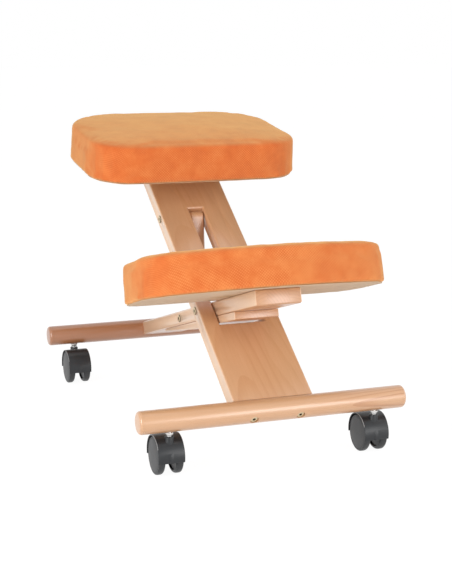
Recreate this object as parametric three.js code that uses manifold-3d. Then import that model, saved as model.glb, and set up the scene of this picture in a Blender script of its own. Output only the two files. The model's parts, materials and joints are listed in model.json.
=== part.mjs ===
// A kneeling chair with a crossed beech frame, two padded rests and four twin-wheel castors.
// Millimetres and degrees. +Y runs back and +Z is up; left is -X and right is +X, as seen from the front.
// The origin is on the floor, under the middle of the chair's overall box.

import * as THREE from 'three';
import { mergeVertices } from 'three/addons/utils/BufferGeometryUtils.js';
import Module from 'manifold-3d';

const wasm = await Module();
wasm.setup();

// Crossbars
const barDiameter = 37.5;
const barLength = 460;
const barEndRound = 5;

// Main board, from the front crossbar up to the seat
const boardIncline = 33.6;
const boardWidth = 138.6;
const boardThickness = 27;
const boardReach = 639.5;
const boardEdge = 2;

// Lower beam, from the rear crossbar up to the knee rest
const beamIncline = 16.8;
const beamWidth = 78;
const beamThickness = 26;
const beamReach = 652;
const beamEdge = 2;
const crossingSetback = 212.1;
const doublerThickness = 12.5;
const doublerTailThickness = 3;
const doublerFrontSetback = 102;
const doublerLength = 387;
const doublerTaper = 167;

// Strut between the beam and the board; its pins form two equal arms with the crossing
const strutHeadSetback = 174.9;
const strutWidth = 25;
const strutDepth = 21;
const strutEdge = 2.5;
const raisedCrossings = [70, 80];

// Seat rest
const seatTilt = 7.8;
const seatWidth = 396;
const seatDepth = 283;
const seatThickness = 69.5;
const seatCrown = 8;
const seatFrontRadius = 74;
const seatRearRadius = 98;
const seatFrontBow = 3;
const seatRearBow = 5;
const seatOverhang = 192;
const seatWedgeLength = 46;
const seatWedgeTip = 1.5;
const seatBoltEdgeSetback = 23.3;
const seatBoltFrontSetback = 55;
const seatBoltRearSetback = 5;
const seatBoltFrontGrip = 30;
const seatBoltRearGrip = 8;

// Knee rest
const kneeWidth = 428;
const kneeDepth = 160;
const kneeThickness = 68.7;
const kneeCrown = 3;
const kneeFrontRadius = 38;
const kneeRearRadius = 48;
const kneeFrontBow = 54;
const kneeRearBow = 4;
const kneeFrontSetback = 23;
const kneeBoltFrontSetback = 46;
const kneeBoltRearSetback = 152;
const kneeBoltGrip = 18;

// What both rests share
const padBoardThickness = 12;
const padLiningThickness = 1;
const padLiningInset = 6;
const padWrap = 3;
const padTopRound = 13;
const padBottomDraw = 3;
const padWaistDraw = 1.2;

// Fasteners
const largeBoltDiameter = 8;
const largeHeadDiameter = 13.5;
const largeHeadHeight = 3.5;
const largeHeadProud = 1.5;
const largeSocketWidth = 5;
const largeSocketDepth = 2.2;
const smallBoltDiameter = 6;
const smallHeadDiameter = 11;
const smallHeadHeight = 3;
const smallSocketWidth = 4;
const smallSocketDepth = 1.8;
const sleeveNutWall = 1.5;
const sleeveNutLength = 34;
const barrelNutDiameter = 13;
const barrelNutLength = 20;
const barrelNutSetback = 60;
const barrelBoltTail = 8;
const barBoltRecess = 6;
const frontBoltEdgeSetback = 29.05;
const rearBoltEdgeSetback = 19;
const teeNutFlangeDiameter = 18;
const teeNutFlangeThickness = 1.4;
const teeNutBarrelDiameter = 8.6;
const teeNutBarrelLength = 9;
const boltTipChamfer = 0.8;

// Castors
const wheelDiameter = 62;
const wheelTreadWidth = 13;
const wheelEdge = 2.5;
const wheelDome = 1.2;
const wheelRimThickness = 4;
const wheelFaceThickness = 4;
const wheelHubDiameter = 14;
const castorWidth = 44;
const castorTrail = 17.5;
const castorInset = 51.6;
const hoodRunningGap = 1;
const hoodWall = 2;
const hoodSideReveal = 1.5;
const hoodDropAngle = 10;
const hoodWebThickness = 7;
const axleDiameter = 6;
const axleEndCover = 5;
const axleBossDiameter = 16;
const socketDiameter = 14.5;
const socketRise = 1.5;
const socketDepth = 26;
const stemDiameter = 8;
const stemShow = 7.2;
const stemGrip = 20;
const stemCollarDiameter = 13;
const stemCollarThickness = 4.6;

// Clearances
const seatGap = 0.3;
const pinGap = 0.3;
const beamSideGap = 2;
const strutSideGap = 1.7;
const strutEndGap = 2;
const cutOverrun = 4;

// Points of a solid nearer to each other than this are one point
const weldDistance = 1e-4;

// A quarter of a turn, in degrees
const quarter = 90;

// Fineness of the round surfaces, as numbers of sides
const barSides = 32;
const wheelSides = 24;
const pinSides = 12;
const hexSides = 6;
const cornerSteps = 5;
const edgeSteps = 7;
const arcSteps = 10;

// Worked out from the sizes above
const rad = THREE.MathUtils.degToRad;
const barRadius = barDiameter / 2;
const wheelRadius = wheelDiameter / 2;
const hoodInnerRadius = wheelRadius + hoodRunningGap;
const hoodOuterRadius = hoodInnerRadius + hoodWall;
const castorHeight = wheelRadius + hoodOuterRadius + socketRise + stemShow;
const barHeight = castorHeight + barRadius;
const castorSpacing = barLength - 2 * castorInset;
const crossingAngle = boardIncline + beamIncline;
const crossingOnBeam = beamReach - crossingSetback;
const crossingOnBoard = crossingOnBeam * Math.sin(rad(beamIncline)) / Math.sin(rad(boardIncline));
const barSpacing = crossingOnBeam * Math.sin(rad(crossingAngle)) / Math.sin(rad(boardIncline));
const strutHeadOnBoard = boardReach - strutHeadSetback;
const strutReach = (strutHeadOnBoard - crossingOnBoard) / 2 / Math.cos(rad(crossingAngle));
const strutFootOnBeam = crossingOnBeam - strutReach;
const bevelAngle = boardIncline - seatTilt;
const seatBoltSpread = boardWidth - 2 * seatBoltEdgeSetback;
const frontBoltSpread = boardWidth - 2 * frontBoltEdgeSetback;
const rearBoltSpread = beamWidth - 2 * rearBoltEdgeSetback;
const strutSlotHalf = strutWidth / 2 + strutSideGap;
const beamOpeningHalf = beamWidth / 2 + beamSideGap;
const beamFullHalf = beamThickness / 2 + seatGap + doublerThickness;

// Half the length of the opening that the beam passes through, along the board
const beamOpeningReach = beamSideGap
  + (beamFullHalf + boardThickness / 2 * Math.cos(rad(crossingAngle))) / Math.sin(rad(crossingAngle));

// How far ahead of its foot the strut lies in the beam's slot at the highest setting
const strutLowest = rad(180 - 2 * Math.max(...raisedCrossings));
const beamSlotAhead = strutEndGap
  + (beamThickness / 2 + strutDepth / 2 / Math.cos(strutLowest)) / Math.tan(strutLowest);

// Finishes
const beech = { color: 0xd2a377, roughness: 0.42, metalness: 0 };
const plywood = { color: 0xc9a57c, roughness: 0.7, metalness: 0 };
const upholstery = { color: 0xe8823c, roughness: 0.9, metalness: 0 };
const lining = { color: 0xc8ae91, roughness: 0.95, metalness: 0 };
const zincSteel = { color: 0xb3a182, roughness: 0.35, metalness: 1 };
const plainSteel = { color: 0xb9b7b3, roughness: 0.3, metalness: 1 };
const blackNylon = { color: 0x1e1f21, roughness: 0.45, metalness: 0 };

// Solids: joining, cutting and naming

function toSolid(geometry) {
  const bare = geometry.index ? geometry.toNonIndexed() : geometry.clone();
  bare.deleteAttribute('normal');
  bare.deleteAttribute('uv');
  const merged = mergeVertices(bare, weldDistance);
  const vertProperties = new Float32Array(merged.attributes.position.array);
  const triVerts = new Uint32Array(merged.index.array);
  return new wasm.Manifold(new wasm.Mesh({ numProp: 3, vertProperties, triVerts }));
}

function toGeometry(solid) {
  const mesh = solid.getMesh();
  const geometry = new THREE.BufferGeometry();
  geometry.setAttribute('position', new THREE.BufferAttribute(new Float32Array(mesh.vertProperties), 3));
  geometry.setIndex(new THREE.BufferAttribute(new Uint32Array(mesh.triVerts), 1));
  return geometry;
}

function cut(geometry, tools) {
  let solid = toSolid(geometry);
  for (const tool of tools) {
    solid = solid.subtract(toSolid(tool));
  }
  return toGeometry(solid);
}

function join(geometries) {
  let solid = toSolid(geometries[0]);
  for (const other of geometries.slice(1)) {
    solid = solid.add(toSolid(other));
  }
  return toGeometry(solid);
}

function piece(name, geometry, finish) {
  geometry.computeVertexNormals();
  const mesh = new THREE.Mesh(geometry, new THREE.MeshStandardMaterial(finish));
  mesh.name = name;
  return mesh;
}

// Basic forms

// A solid of revolution about Z, from [radius, height] points that start and end on the axis.
function turned(points, sides) {
  const profile = points.map(([radius, height]) => new THREE.Vector2(radius, height));
  return new THREE.LatheGeometry(profile, sides).rotateX(rad(90));
}

// A round rod along Z between two heights.
function rod(radius, low, high, sides = pinSides) {
  return turned([[0, low], [radius, low], [radius, high], [0, high]], sides);
}

// A tube along Z between two heights.
function tube(outerRadius, innerRadius, low, high, sides = pinSides) {
  const corners = [[innerRadius, low], [outerRadius, low], [outerRadius, high], [innerRadius, high], [innerRadius, low]];
  return turned(corners, sides);
}

function hexRod(acrossFlats, low, high) {
  return turned(
    [[0, low], [acrossFlats / Math.sqrt(3), low], [acrossFlats / Math.sqrt(3), high], [0, high]],
    hexSides,
  );
}

// Turned from lying along Z to lying along X or Y.
const alongX = (geometry) => geometry.rotateY(rad(90));
const alongY = (geometry) => geometry.rotateX(rad(-90));

function box(width, low, high) {
  const [lowY, lowZ] = low;
  const [highY, highZ] = high;
  return new THREE.BoxGeometry(width, highY - lowY, highZ - lowZ)
    .translate(0, (lowY + highY) / 2, (lowZ + highZ) / 2);
}

// A flat outline in X and Y made a plate between two heights, its edges chamfered.
function plate(shape, low, high, edge) {
  const options = {
    depth: high - low - 2 * edge,
    bevelEnabled: edge > 0,
    bevelThickness: edge,
    bevelSize: edge,
    bevelOffset: -edge,
    bevelSegments: 1,
    curveSegments: arcSteps,
  };
  return new THREE.ExtrudeGeometry(shape, options).translate(0, 0, low + edge);
}

// A side outline in Y and Z made a solid of the given width, centred on X = 0, its edges chamfered.
function slab(shape, width, edge) {
  const turnUp = new THREE.Matrix4().makeBasis(
    new THREE.Vector3(0, 1, 0),
    new THREE.Vector3(0, 0, 1),
    new THREE.Vector3(1, 0, 0),
  );
  return plate(shape, -width / 2, width / 2, edge).applyMatrix4(turnUp);
}

function polygon(points) {
  return new THREE.Shape(points.map(([u, v]) => new THREE.Vector2(u, v)));
}

// Fasteners, each along +Z with the underside of its head at height 0

function socketBolt(diameter, length, headDiameter, headHeight, socketWidth, socketDepth) {
  const radius = diameter / 2;
  const headRadius = headDiameter / 2;
  const chamfer = boltTipChamfer;
  const body = turned([
    [0, -headHeight],
    [headRadius - chamfer, -headHeight],
    [headRadius, chamfer - headHeight],
    [headRadius, 0],
    [radius, 0],
    [radius, length - chamfer],
    [radius - chamfer, length],
    [0, length],
  ], pinSides);
  return cut(body, [hexRod(socketWidth, -headHeight - cutOverrun, socketDepth - headHeight)]);
}

function largeBolt(length) {
  return socketBolt(
    largeBoltDiameter, length, largeHeadDiameter, largeHeadHeight, largeSocketWidth, largeSocketDepth,
  );
}

function smallBolt(length) {
  return socketBolt(
    smallBoltDiameter, length, smallHeadDiameter, smallHeadHeight, smallSocketWidth, smallSocketDepth,
  );
}

// A headed sleeve that the tip of a large bolt screws into.
function sleeveNut() {
  const innerRadius = largeBoltDiameter / 2 + pinGap;
  const outerRadius = innerRadius + sleeveNutWall;
  const headRadius = largeHeadDiameter / 2;
  const chamfer = boltTipChamfer;
  const body = turned([
    [0, -largeHeadHeight],
    [headRadius - chamfer, -largeHeadHeight],
    [headRadius, chamfer - largeHeadHeight],
    [headRadius, 0],
    [outerRadius, 0],
    [outerRadius, sleeveNutLength],
    [innerRadius, sleeveNutLength],
    [innerRadius, chamfer],
    [0, chamfer],
  ], pinSides);
  const socket = hexRod(largeSocketWidth, -largeHeadHeight - cutOverrun, largeSocketDepth - largeHeadHeight);
  return cut(body, [socket]);
}

const sleeveNutHole = largeBoltDiameter / 2 + pinGap + sleeveNutWall + pinGap;
const largeHole = largeBoltDiameter / 2 + pinGap;
const smallHole = smallBoltDiameter / 2 + pinGap;
const headRecess = largeHeadDiameter / 2 + pinGap;

// A headed bolt across X and a sleeve nut that meets it, for a member of the given width.
function crossBolt(width) {
  const headSeat = width / 2 + largeHeadProud - largeHeadHeight;
  const length = 2 * headSeat - boltTipChamfer - seatGap;
  return alongX(largeBolt(length)).translate(-headSeat, 0, 0);
}

function crossNut(width) {
  const headSeat = width / 2 + largeHeadProud - largeHeadHeight;
  return alongX(sleeveNut()).rotateZ(rad(180)).translate(headSeat, 0, 0);
}

// The hole that such a pair needs: recesses for both heads, a bolt hole and a wider one for the sleeve.
function crossHole(width) {
  const face = width / 2;
  const seat = face + largeHeadProud - largeHeadHeight - seatGap;
  return [
    alongX(rod(largeHole, -face - cutOverrun, face + cutOverrun)),
    alongX(rod(sleeveNutHole, seat - sleeveNutLength - seatGap, face + cutOverrun)),
    alongX(rod(headRecess, seat, face + cutOverrun)),
    alongX(rod(headRecess, -face - cutOverrun, -seat)),
  ];
}

// Crossbars

function crossbarBlank() {
  const corners = [[0, -barLength / 2]];
  for (let step = 0; step <= 2; step += 1) {
    const angle = rad(90 * step / 2);
    const radius = barRadius - barEndRound + barEndRound * Math.sin(angle);
    corners.push([radius, -barLength / 2 + barEndRound - barEndRound * Math.cos(angle)]);
  }
  const mirrored = corners.map(([radius, along]) => [radius, -along]).reverse();
  return alongX(turned([...corners, ...mirrored], barSides));
}

// The bolts run along +Y from the bar into the member's end; the member slopes by the given angle.
function crossbar(memberSlope, boltSpread) {
  const tools = [];
  for (const side of [-1, 1]) {
    const x = side * boltSpread / 2;
    const through = alongY(rod(largeHole, -barDiameter, barDiameter)).translate(x, 0, 0);
    const recess = alongY(rod(headRecess, -barDiameter, -barRadius + barBoltRecess)).translate(x, 0, 0);
    tools.push(through.rotateX(memberSlope), recess.rotateX(memberSlope));
    const stemHole = rod(stemDiameter / 2 + pinGap, -barDiameter, stemGrip - barRadius + pinGap);
    tools.push(stemHole.translate(side * castorSpacing / 2, 0, 0));
  }
  return cut(crossbarBlank(), tools);
}

const barBoltSeat = -barRadius + barBoltRecess - seatGap;

// A bolt and a barrel nut that hold a crossbar on its member's end, in the member's frame.
function barBolt() {
  const length = barrelNutSetback + barrelBoltTail - barBoltSeat;
  return alongY(largeBolt(length)).translate(0, barBoltSeat, 0);
}

function barrelNut(memberThickness) {
  const low = seatGap - memberThickness / 2;
  const body = rod(barrelNutDiameter / 2, low, low + barrelNutLength);
  const thread = alongY(rod(largeHole, -barrelNutDiameter, barrelNutDiameter));
  return cut(body, [thread]).translate(0, barrelNutSetback, 0);
}

function barJointHoles(boltSpread, memberThickness) {
  const tools = [alongX(rod(barRadius + seatGap, -barLength, barLength, barSides))];
  const nutTop = seatGap - memberThickness / 2 + barrelNutLength + seatGap;
  for (const side of [-1, 1]) {
    const x = side * boltSpread / 2;
    const hole = alongY(rod(largeHole, 0, barrelNutSetback + barrelBoltTail + seatGap));
    const pocket = rod(barrelNutDiameter / 2 + pinGap, -memberThickness, nutTop);
    tools.push(hole.translate(x, 0, 0), pocket.translate(x, barrelNutSetback, 0));
  }
  return tools;
}

// Main board. Its frame starts on the front bar's axis: Y runs up the board, Z out of its upper face

const bevelHalfRun = boardThickness / 2 / Math.sin(rad(bevelAngle));
const bevelDrop = boardThickness / 2 / Math.tan(rad(bevelAngle));
const seatInBoard = new THREE.Matrix4().makeRotationX(rad(-bevelAngle)).setPosition(0, boardReach, 0);

// The beam's opening and the strut's narrower slot above it, as one.
function boardOpening() {
  const low = crossingOnBoard - beamOpeningReach;
  const step = crossingOnBoard + beamOpeningReach;
  const high = strutHeadOnBoard + strutDepth / 2 + strutEndGap;
  const leftSide = [
    [-strutSlotHalf, high],
    [-strutSlotHalf, step],
    [-beamOpeningHalf, step],
    [-beamOpeningHalf, low],
  ];
  const rightSide = leftSide.map(([x, y]) => [-x, y]).reverse();
  return polygon([...leftSide, ...rightSide]);
}

function mainBoard() {
  const top = boardReach + bevelDrop + cutOverrun;
  const side = boardWidth / 2;
  const outline = polygon([[-side, 0], [side, 0], [side, top], [-side, top]]);
  outline.holes.push(boardOpening());
  const blank = plate(outline, -boardThickness / 2, boardThickness / 2, boardEdge);
  const above = box(boardWidth + 2 * cutOverrun, [-boardReach, 0], [boardReach, boardReach]);
  const tools = [above.applyMatrix4(seatInBoard), ...barJointHoles(frontBoltSpread, boardThickness)];
  tools.push(...crossHole(boardWidth).map((tool) => tool.translate(0, crossingOnBoard, 0)));
  const headSeat = strutHeadSeat - seatGap;
  for (const angle of [crossingAngle, ...raisedCrossings]) {
    const place = crossingOnBoard + 2 * strutReach * Math.cos(rad(angle));
    const rods = [
      rod(largeHole, -boardWidth, boardWidth),
      rod(headRecess, -boardWidth, -headSeat),
      rod(headRecess, headSeat, boardWidth),
    ];
    tools.push(...rods.map((tool) => alongX(tool).translate(0, place, 0)));
  }
  for (const bolt of seatBoltPlaces) {
    tools.push(...seatBoltHoles(bolt).map((tool) => tool.applyMatrix4(seatInBoard)));
  }
  return cut(blank, tools);
}

// The strut's head is held by one bolt from each side, drawn back level with the slot's walls

const strutHeadSeat = boardWidth / 2 + largeHeadProud - largeHeadHeight;

function strutHeadBolt(side) {
  const length = strutHeadSeat - strutSlotHalf - seatGap;
  const turn = side < 0 ? 0 : rad(180);
  return alongX(largeBolt(length)).rotateZ(turn).translate(side * strutHeadSeat, strutHeadOnBoard, 0);
}

// Seat fixing, in the seat's frame: origin in the middle of the board's bevel, Z out of it

const sideNames = { [-1]: 'left', [1]: 'right' };
const seatBoltPlaces = [];
for (const [row, setback, grip] of [
  ['front', seatBoltFrontSetback, seatBoltFrontGrip],
  ['rear', seatBoltRearSetback, seatBoltRearGrip],
]) {
  for (const side of [-1, 1]) {
    seatBoltPlaces.push({ label: `${row}_${sideNames[side]}`, x: side * seatBoltSpread / 2, y: -setback, grip });
  }
}

function seatBoltHoles({ x, y, grip }) {
  const below = seatGap - grip;
  const shank = rod(smallHole, below - cutOverrun, cutOverrun);
  const pocket = rod(smallHeadDiameter / 2 + pinGap, below - boardThickness * 2, below);
  return [shank.translate(x, y, 0), pocket.translate(x, y, 0)];
}

function seatWedge() {
  const slope = Math.tan(rad(bevelAngle));
  const thinEnd = -bevelHalfRun;
  const drop = (y) => (thinEnd - y) * slope - seatGap / Math.cos(rad(bevelAngle));
  const tip = thinEnd - (seatWedgeTip + seatGap / Math.cos(rad(bevelAngle))) / slope;
  const front = thinEnd - seatWedgeLength;
  const outline = polygon([[front, -drop(front)], [tip, -drop(tip)], [tip, 0], [front, 0]]);
  const blank = slab(outline, boardWidth, 0);
  const tools = seatBoltPlaces.map(({ x, y }) => rod(smallHole, -boardThickness, cutOverrun).translate(x, y, 0));
  return cut(blank, tools);
}

// Pads: the seat and the knee rest share one construction

// The plan outline, anticlockwise from above; Y = 0 is the front corners' line.
function padOutline(pad) {
  const half = pad.width / 2;
  const corners = [
    { x: half - pad.frontRadius, y: pad.frontRadius, radius: pad.frontRadius, start: -quarter },
    { x: half - pad.rearRadius, y: pad.depth - pad.rearRadius, radius: pad.rearRadius, start: 0 },
    { x: -half + pad.rearRadius, y: pad.depth - pad.rearRadius, radius: pad.rearRadius, start: quarter },
    { x: -half + pad.frontRadius, y: pad.frontRadius, radius: pad.frontRadius, start: 2 * quarter },
  ];
  const points = [];
  corners.forEach((corner, index) => {
    for (let step = 0; step <= cornerSteps; step += 1) {
      const angle = rad(corner.start + quarter * step / cornerSteps);
      points.push([corner.x + corner.radius * Math.cos(angle), corner.y + corner.radius * Math.sin(angle)]);
    }
    const next = corners[(index + 1) % corners.length];
    const [fromX, fromY] = points[points.length - 1];
    const turn = rad(next.start);
    const toX = next.x + next.radius * Math.cos(turn);
    const toY = next.y + next.radius * Math.sin(turn);
    for (let step = 1; step < edgeSteps; step += 1) {
      const share = step / edgeSteps;
      points.push([fromX + (toX - fromX) * share, fromY + (toY - fromY) * share]);
    }
  });
  return points.map(([x, y]) => {
    const middle = 1 - (x / half) ** 2;
    const rearShare = y / pad.depth;
    return [x, y + middle * (pad.rearBow * rearShare - pad.frontBow * (1 - rearShare))];
  });
}

// The outline moved inwards by a distance, along the bisector at each point.
function drawnIn(points, distance) {
  return points.map(([x, y], index) => {
    const [px, py] = points[(index + points.length - 1) % points.length];
    const [nx, ny] = points[(index + 1) % points.length];
    const length = Math.hypot(nx - px, ny - py);
    return [x - distance * (ny - py) / length, y + distance * (nx - px) / length];
  });
}

// A closed body from rings of equally many points, with a centre point under the first and over the last.
function loft(rings, firstCentre, lastCentre) {
  const count = rings[0].length;
  const positions = [...firstCentre];
  for (const ring of rings) {
    for (const point of ring) {
      positions.push(...point);
    }
  }
  positions.push(...lastCentre);
  const last = 1 + rings.length * count;
  const index = [];
  for (let at = 0; at < count; at += 1) {
    const next = (at + 1) % count;
    index.push(0, 1 + next, 1 + at);
    for (let level = 0; level < rings.length - 1; level += 1) {
      const low = 1 + level * count;
      const high = low + count;
      index.push(low + at, low + next, high + next, low + at, high + next, high + at);
    }
    index.push(last - count + at, last - count + next, last);
  }
  const geometry = new THREE.BufferGeometry();
  geometry.setAttribute('position', new THREE.Float32BufferAttribute(positions, 3));
  geometry.setIndex(index);
  return geometry;
}

const padBoardLow = seatGap + padLiningThickness + seatGap;
const padBoardHigh = padBoardLow + padBoardThickness;

// Foam and cover in one: crowned on top, bowed out at mid height, drawn in to the base board's edge.
function padCushion(pad) {
  const outline = padOutline(pad);
  const centre = [0, pad.depth / 2];
  const pocket = drawnIn(outline, padWrap);
  const shoulder = pad.thickness - pad.crown - padTopRound;
  const sideShares = [[0, padBottomDraw], [0.3, padWaistDraw], [0.6, 0], [1, padWaistDraw / 2]];
  const rings = [
    pocket.map(([x, y]) => [x, y, padBoardHigh + seatGap]),
    pocket.map(([x, y]) => [x, y, seatGap]),
  ];
  for (const [heightShare, draw] of sideShares) {
    const height = seatGap + (shoulder - seatGap) * heightShare;
    rings.push(drawnIn(outline, draw).map(([x, y]) => [x, y, height]));
  }
  for (const angle of [30, 60, 90]) {
    const draw = padWaistDraw / 2 + padTopRound * (1 - Math.cos(rad(angle)));
    const height = shoulder + padTopRound * Math.sin(rad(angle));
    rings.push(drawnIn(outline, draw).map(([x, y]) => [x, y, height]));
  }
  const rim = drawnIn(outline, padWaistDraw / 2 + padTopRound);
  for (const rimShare of [0.85, 0.6, 0.3]) {
    const height = pad.thickness - pad.crown * rimShare ** 2;
    rings.push(rim.map(([x, y]) => [
      centre[0] + (x - centre[0]) * rimShare,
      centre[1] + (y - centre[1]) * rimShare,
      height,
    ]));
  }
  return loft(rings, [...centre, padBoardHigh + seatGap], [...centre, pad.thickness]);
}

function padBoard(pad) {
  const shape = polygon(drawnIn(padOutline(pad), padWrap + seatGap));
  const tools = [];
  for (const { x, y } of pad.bolts) {
    const barrel = rod(teeNutBarrelDiameter / 2 + pinGap, -cutOverrun, padBoardHigh + cutOverrun);
    const flangeLow = padBoardHigh - teeNutFlangeThickness - seatGap;
    const flange = rod(teeNutFlangeDiameter / 2 + pinGap, flangeLow, padBoardHigh + cutOverrun);
    tools.push(barrel.translate(x, y, 0), flange.translate(x, y, 0));
  }
  return cut(plate(shape, padBoardLow, padBoardHigh, 0), tools);
}

function padLining(pad) {
  const shape = polygon(drawnIn(padOutline(pad), padLiningInset));
  const tools = pad.bolts.map(({ x, y }) => (
    rod(smallHole, -cutOverrun, padBoardLow + cutOverrun).translate(x, y, 0)
  ));
  return cut(plate(shape, seatGap, seatGap + padLiningThickness, 0), tools);
}

function padTeeNut() {
  const innerRadius = smallHole;
  const barrelRadius = teeNutBarrelDiameter / 2;
  const flangeRadius = teeNutFlangeDiameter / 2;
  const high = padBoardHigh;
  const step = high - teeNutFlangeThickness;
  const low = step - teeNutBarrelLength;
  return turned([
    [innerRadius, low],
    [barrelRadius, low],
    [barrelRadius, step],
    [flangeRadius, step],
    [flangeRadius, high],
    [innerRadius, high],
    [innerRadius, low],
  ], pinSides);
}

function padBolt(grip) {
  return smallBolt(grip + padBoardHigh - seatGap).translate(0, 0, -grip);
}

const seatPad = {
  width: seatWidth,
  depth: seatDepth,
  thickness: seatThickness + seatCrown,
  crown: seatCrown,
  frontRadius: seatFrontRadius,
  rearRadius: seatRearRadius,
  frontBow: seatFrontBow,
  rearBow: seatRearBow,
  bolts: seatBoltPlaces.map(({ label, x, y, grip }) => ({ label, x, y: y + seatOverhang, grip })),
};

// Lower beam. Its frame starts on the rear bar's axis: Y runs back down the beam, Z out of its upper face

const kneeOnBeam = -beamReach + kneeFrontSetback;
const kneeBoltPlaces = [
  { label: 'front', y: kneeBoltFrontSetback - beamReach, thickness: beamThickness },
  { label: 'rear', y: kneeBoltRearSetback - beamReach, thickness: beamThickness + doublerThickness },
];

const kneePad = {
  width: kneeWidth,
  depth: kneeDepth,
  thickness: kneeThickness + kneeCrown,
  crown: kneeCrown,
  frontRadius: kneeFrontRadius,
  rearRadius: kneeRearRadius,
  frontBow: kneeFrontBow,
  rearBow: kneeRearBow,
  bolts: kneeBoltPlaces.map(({ label, y }) => ({ label, x: 0, y: y - kneeOnBeam, grip: kneeBoltGrip })),
};

function kneeBoltHoles() {
  const top = beamThickness / 2;
  const below = top - kneeBoltGrip + seatGap;
  const tools = [];
  for (const { y, thickness } of kneeBoltPlaces) {
    const shank = rod(smallHole, below - cutOverrun, top + cutOverrun);
    const pocket = rod(smallHeadDiameter / 2 + pinGap, top - thickness - cutOverrun, below);
    tools.push(shank.translate(0, y, 0), pocket.translate(0, y, 0));
  }
  return tools;
}

function lowerBeam() {
  const side = beamWidth / 2;
  const outline = polygon([[-side, -beamReach], [side, -beamReach], [side, 0], [-side, 0]]);
  const slotFront = -strutFootOnBeam - beamSlotAhead;
  const slotRear = strutDepth / 2 + strutEndGap - strutFootOnBeam;
  outline.holes.push(polygon([
    [-strutSlotHalf, slotFront],
    [strutSlotHalf, slotFront],
    [strutSlotHalf, slotRear],
    [-strutSlotHalf, slotRear],
  ]));
  const blank = plate(outline, -beamThickness / 2, beamThickness / 2, beamEdge);
  const tools = barJointHoles(rearBoltSpread, beamThickness).map((tool) => tool.rotateZ(rad(180)));
  tools.push(...kneeBoltHoles());
  tools.push(...crossHole(beamWidth).map((tool) => tool.translate(0, -strutFootOnBeam, 0)));
  tools.push(...crossHole(boardWidth).map((tool) => tool.translate(0, -crossingOnBeam, 0)));
  return cut(blank, tools);
}

function beamDoubler() {
  const top = -beamThickness / 2 - seatGap;
  const front = doublerFrontSetback - beamReach;
  const tail = front + doublerLength;
  const outline = polygon([
    [front, top - doublerThickness],
    [tail - doublerTaper, top - doublerThickness],
    [tail, top - doublerTailThickness],
    [tail, top],
    [front, top],
  ]);
  return cut(slab(outline, beamWidth, 0), kneeBoltHoles());
}

function strut() {
  const half = strutDepth / 2;
  const shape = new THREE.Shape();
  shape.absarc(0, 0, half, rad(90), rad(270));
  shape.absarc(strutReach, 0, half, rad(-90), rad(90));
  const blank = slab(shape, strutWidth, strutEdge);
  const head = alongX(rod(strutSleeveRadius + pinGap, -strutWidth, strutWidth)).translate(0, strutReach, 0);
  return cut(blank, [...crossHole(beamWidth), head]);
}

const strutSleeveRadius = largeBoltDiameter / 2 + pinGap + sleeveNutWall;

function strutSleeve() {
  const half = strutWidth / 2 - seatGap;
  return alongX(tube(strutSleeveRadius, largeHole, -half, half)).translate(0, strutReach, 0);
}

// Castors. Their frame has Z up the stem from the floor, and Y towards the side that the wheels trail to

const webHalf = hoodWebThickness / 2;
const hoodHalfWidth = castorWidth / 2 - hoodSideReveal;
const socketTop = wheelRadius + hoodOuterRadius + socketRise;

function castorHood() {
  const front = Math.PI + rad(hoodDropAngle);
  const rear = -rad(hoodDropAngle);
  const fender = new THREE.Shape();
  fender.absarc(0, 0, hoodOuterRadius, rear, front);
  fender.absarc(0, 0, hoodInnerRadius, front, rear, true);
  const webRadius = hoodInnerRadius + hoodWall / 2;
  const web = new THREE.Shape();
  web.absarc(0, 0, webRadius, rear, front);
  const lift = wheelRadius;
  const socketHeight = rod(socketDiameter / 2, lift, socketTop);
  const solid = join([
    slab(fender, 2 * hoodHalfWidth, 0).translate(0, castorTrail, lift),
    slab(web, 2 * webHalf, 0).translate(0, castorTrail, lift),
    alongX(rod(axleBossDiameter / 2, -webHalf, webHalf)).translate(0, castorTrail, lift),
    socketHeight,
  ]);
  const bore = rod(stemDiameter / 2 + pinGap, socketTop - socketDepth, socketTop + cutOverrun);
  const axle = alongX(rod(axleDiameter / 2 + pinGap, -castorWidth, castorWidth));
  return cut(solid, [bore, axle.translate(0, castorTrail, lift)]);
}

function castorAxle() {
  const half = castorWidth / 2 - axleEndCover;
  return alongX(rod(axleDiameter / 2, -half, half)).translate(0, castorTrail, wheelRadius);
}

// One wheel on the side given by its sign. Its flats touch the true circle.
function castorWheel(side) {
  const roundness = 1 / Math.cos(Math.PI / wheelSides);
  const outer = castorWidth / 2;
  const inner = outer - wheelTreadWidth;
  const tread = wheelRadius * roundness;
  const rimInside = tread - wheelRimThickness;
  const face = outer - wheelDome - wheelFaceThickness;
  const hub = wheelHubDiameter / 2;
  const bore = axleDiameter / 2 + pinGap;
  const boreEnd = outer - axleEndCover + seatGap;
  const profile = [
    [0, boreEnd],
    [bore, boreEnd],
    [bore, webHalf + pinGap],
    [hub, webHalf + pinGap],
    [hub, face],
    [rimInside, face],
    [rimInside, inner],
    [tread, inner],
    [tread, outer - wheelDome - wheelEdge],
    [tread - wheelEdge, outer - wheelDome],
    [tread / 2, outer - wheelDome / 3],
    [0, outer],
  ];
  const halfStep = 180 / wheelSides;
  const wheel = turned(profile, wheelSides).rotateZ(rad(halfStep));
  return alongX(wheel).rotateZ(side > 0 ? 0 : rad(180)).translate(0, castorTrail, wheelRadius);
}

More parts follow.
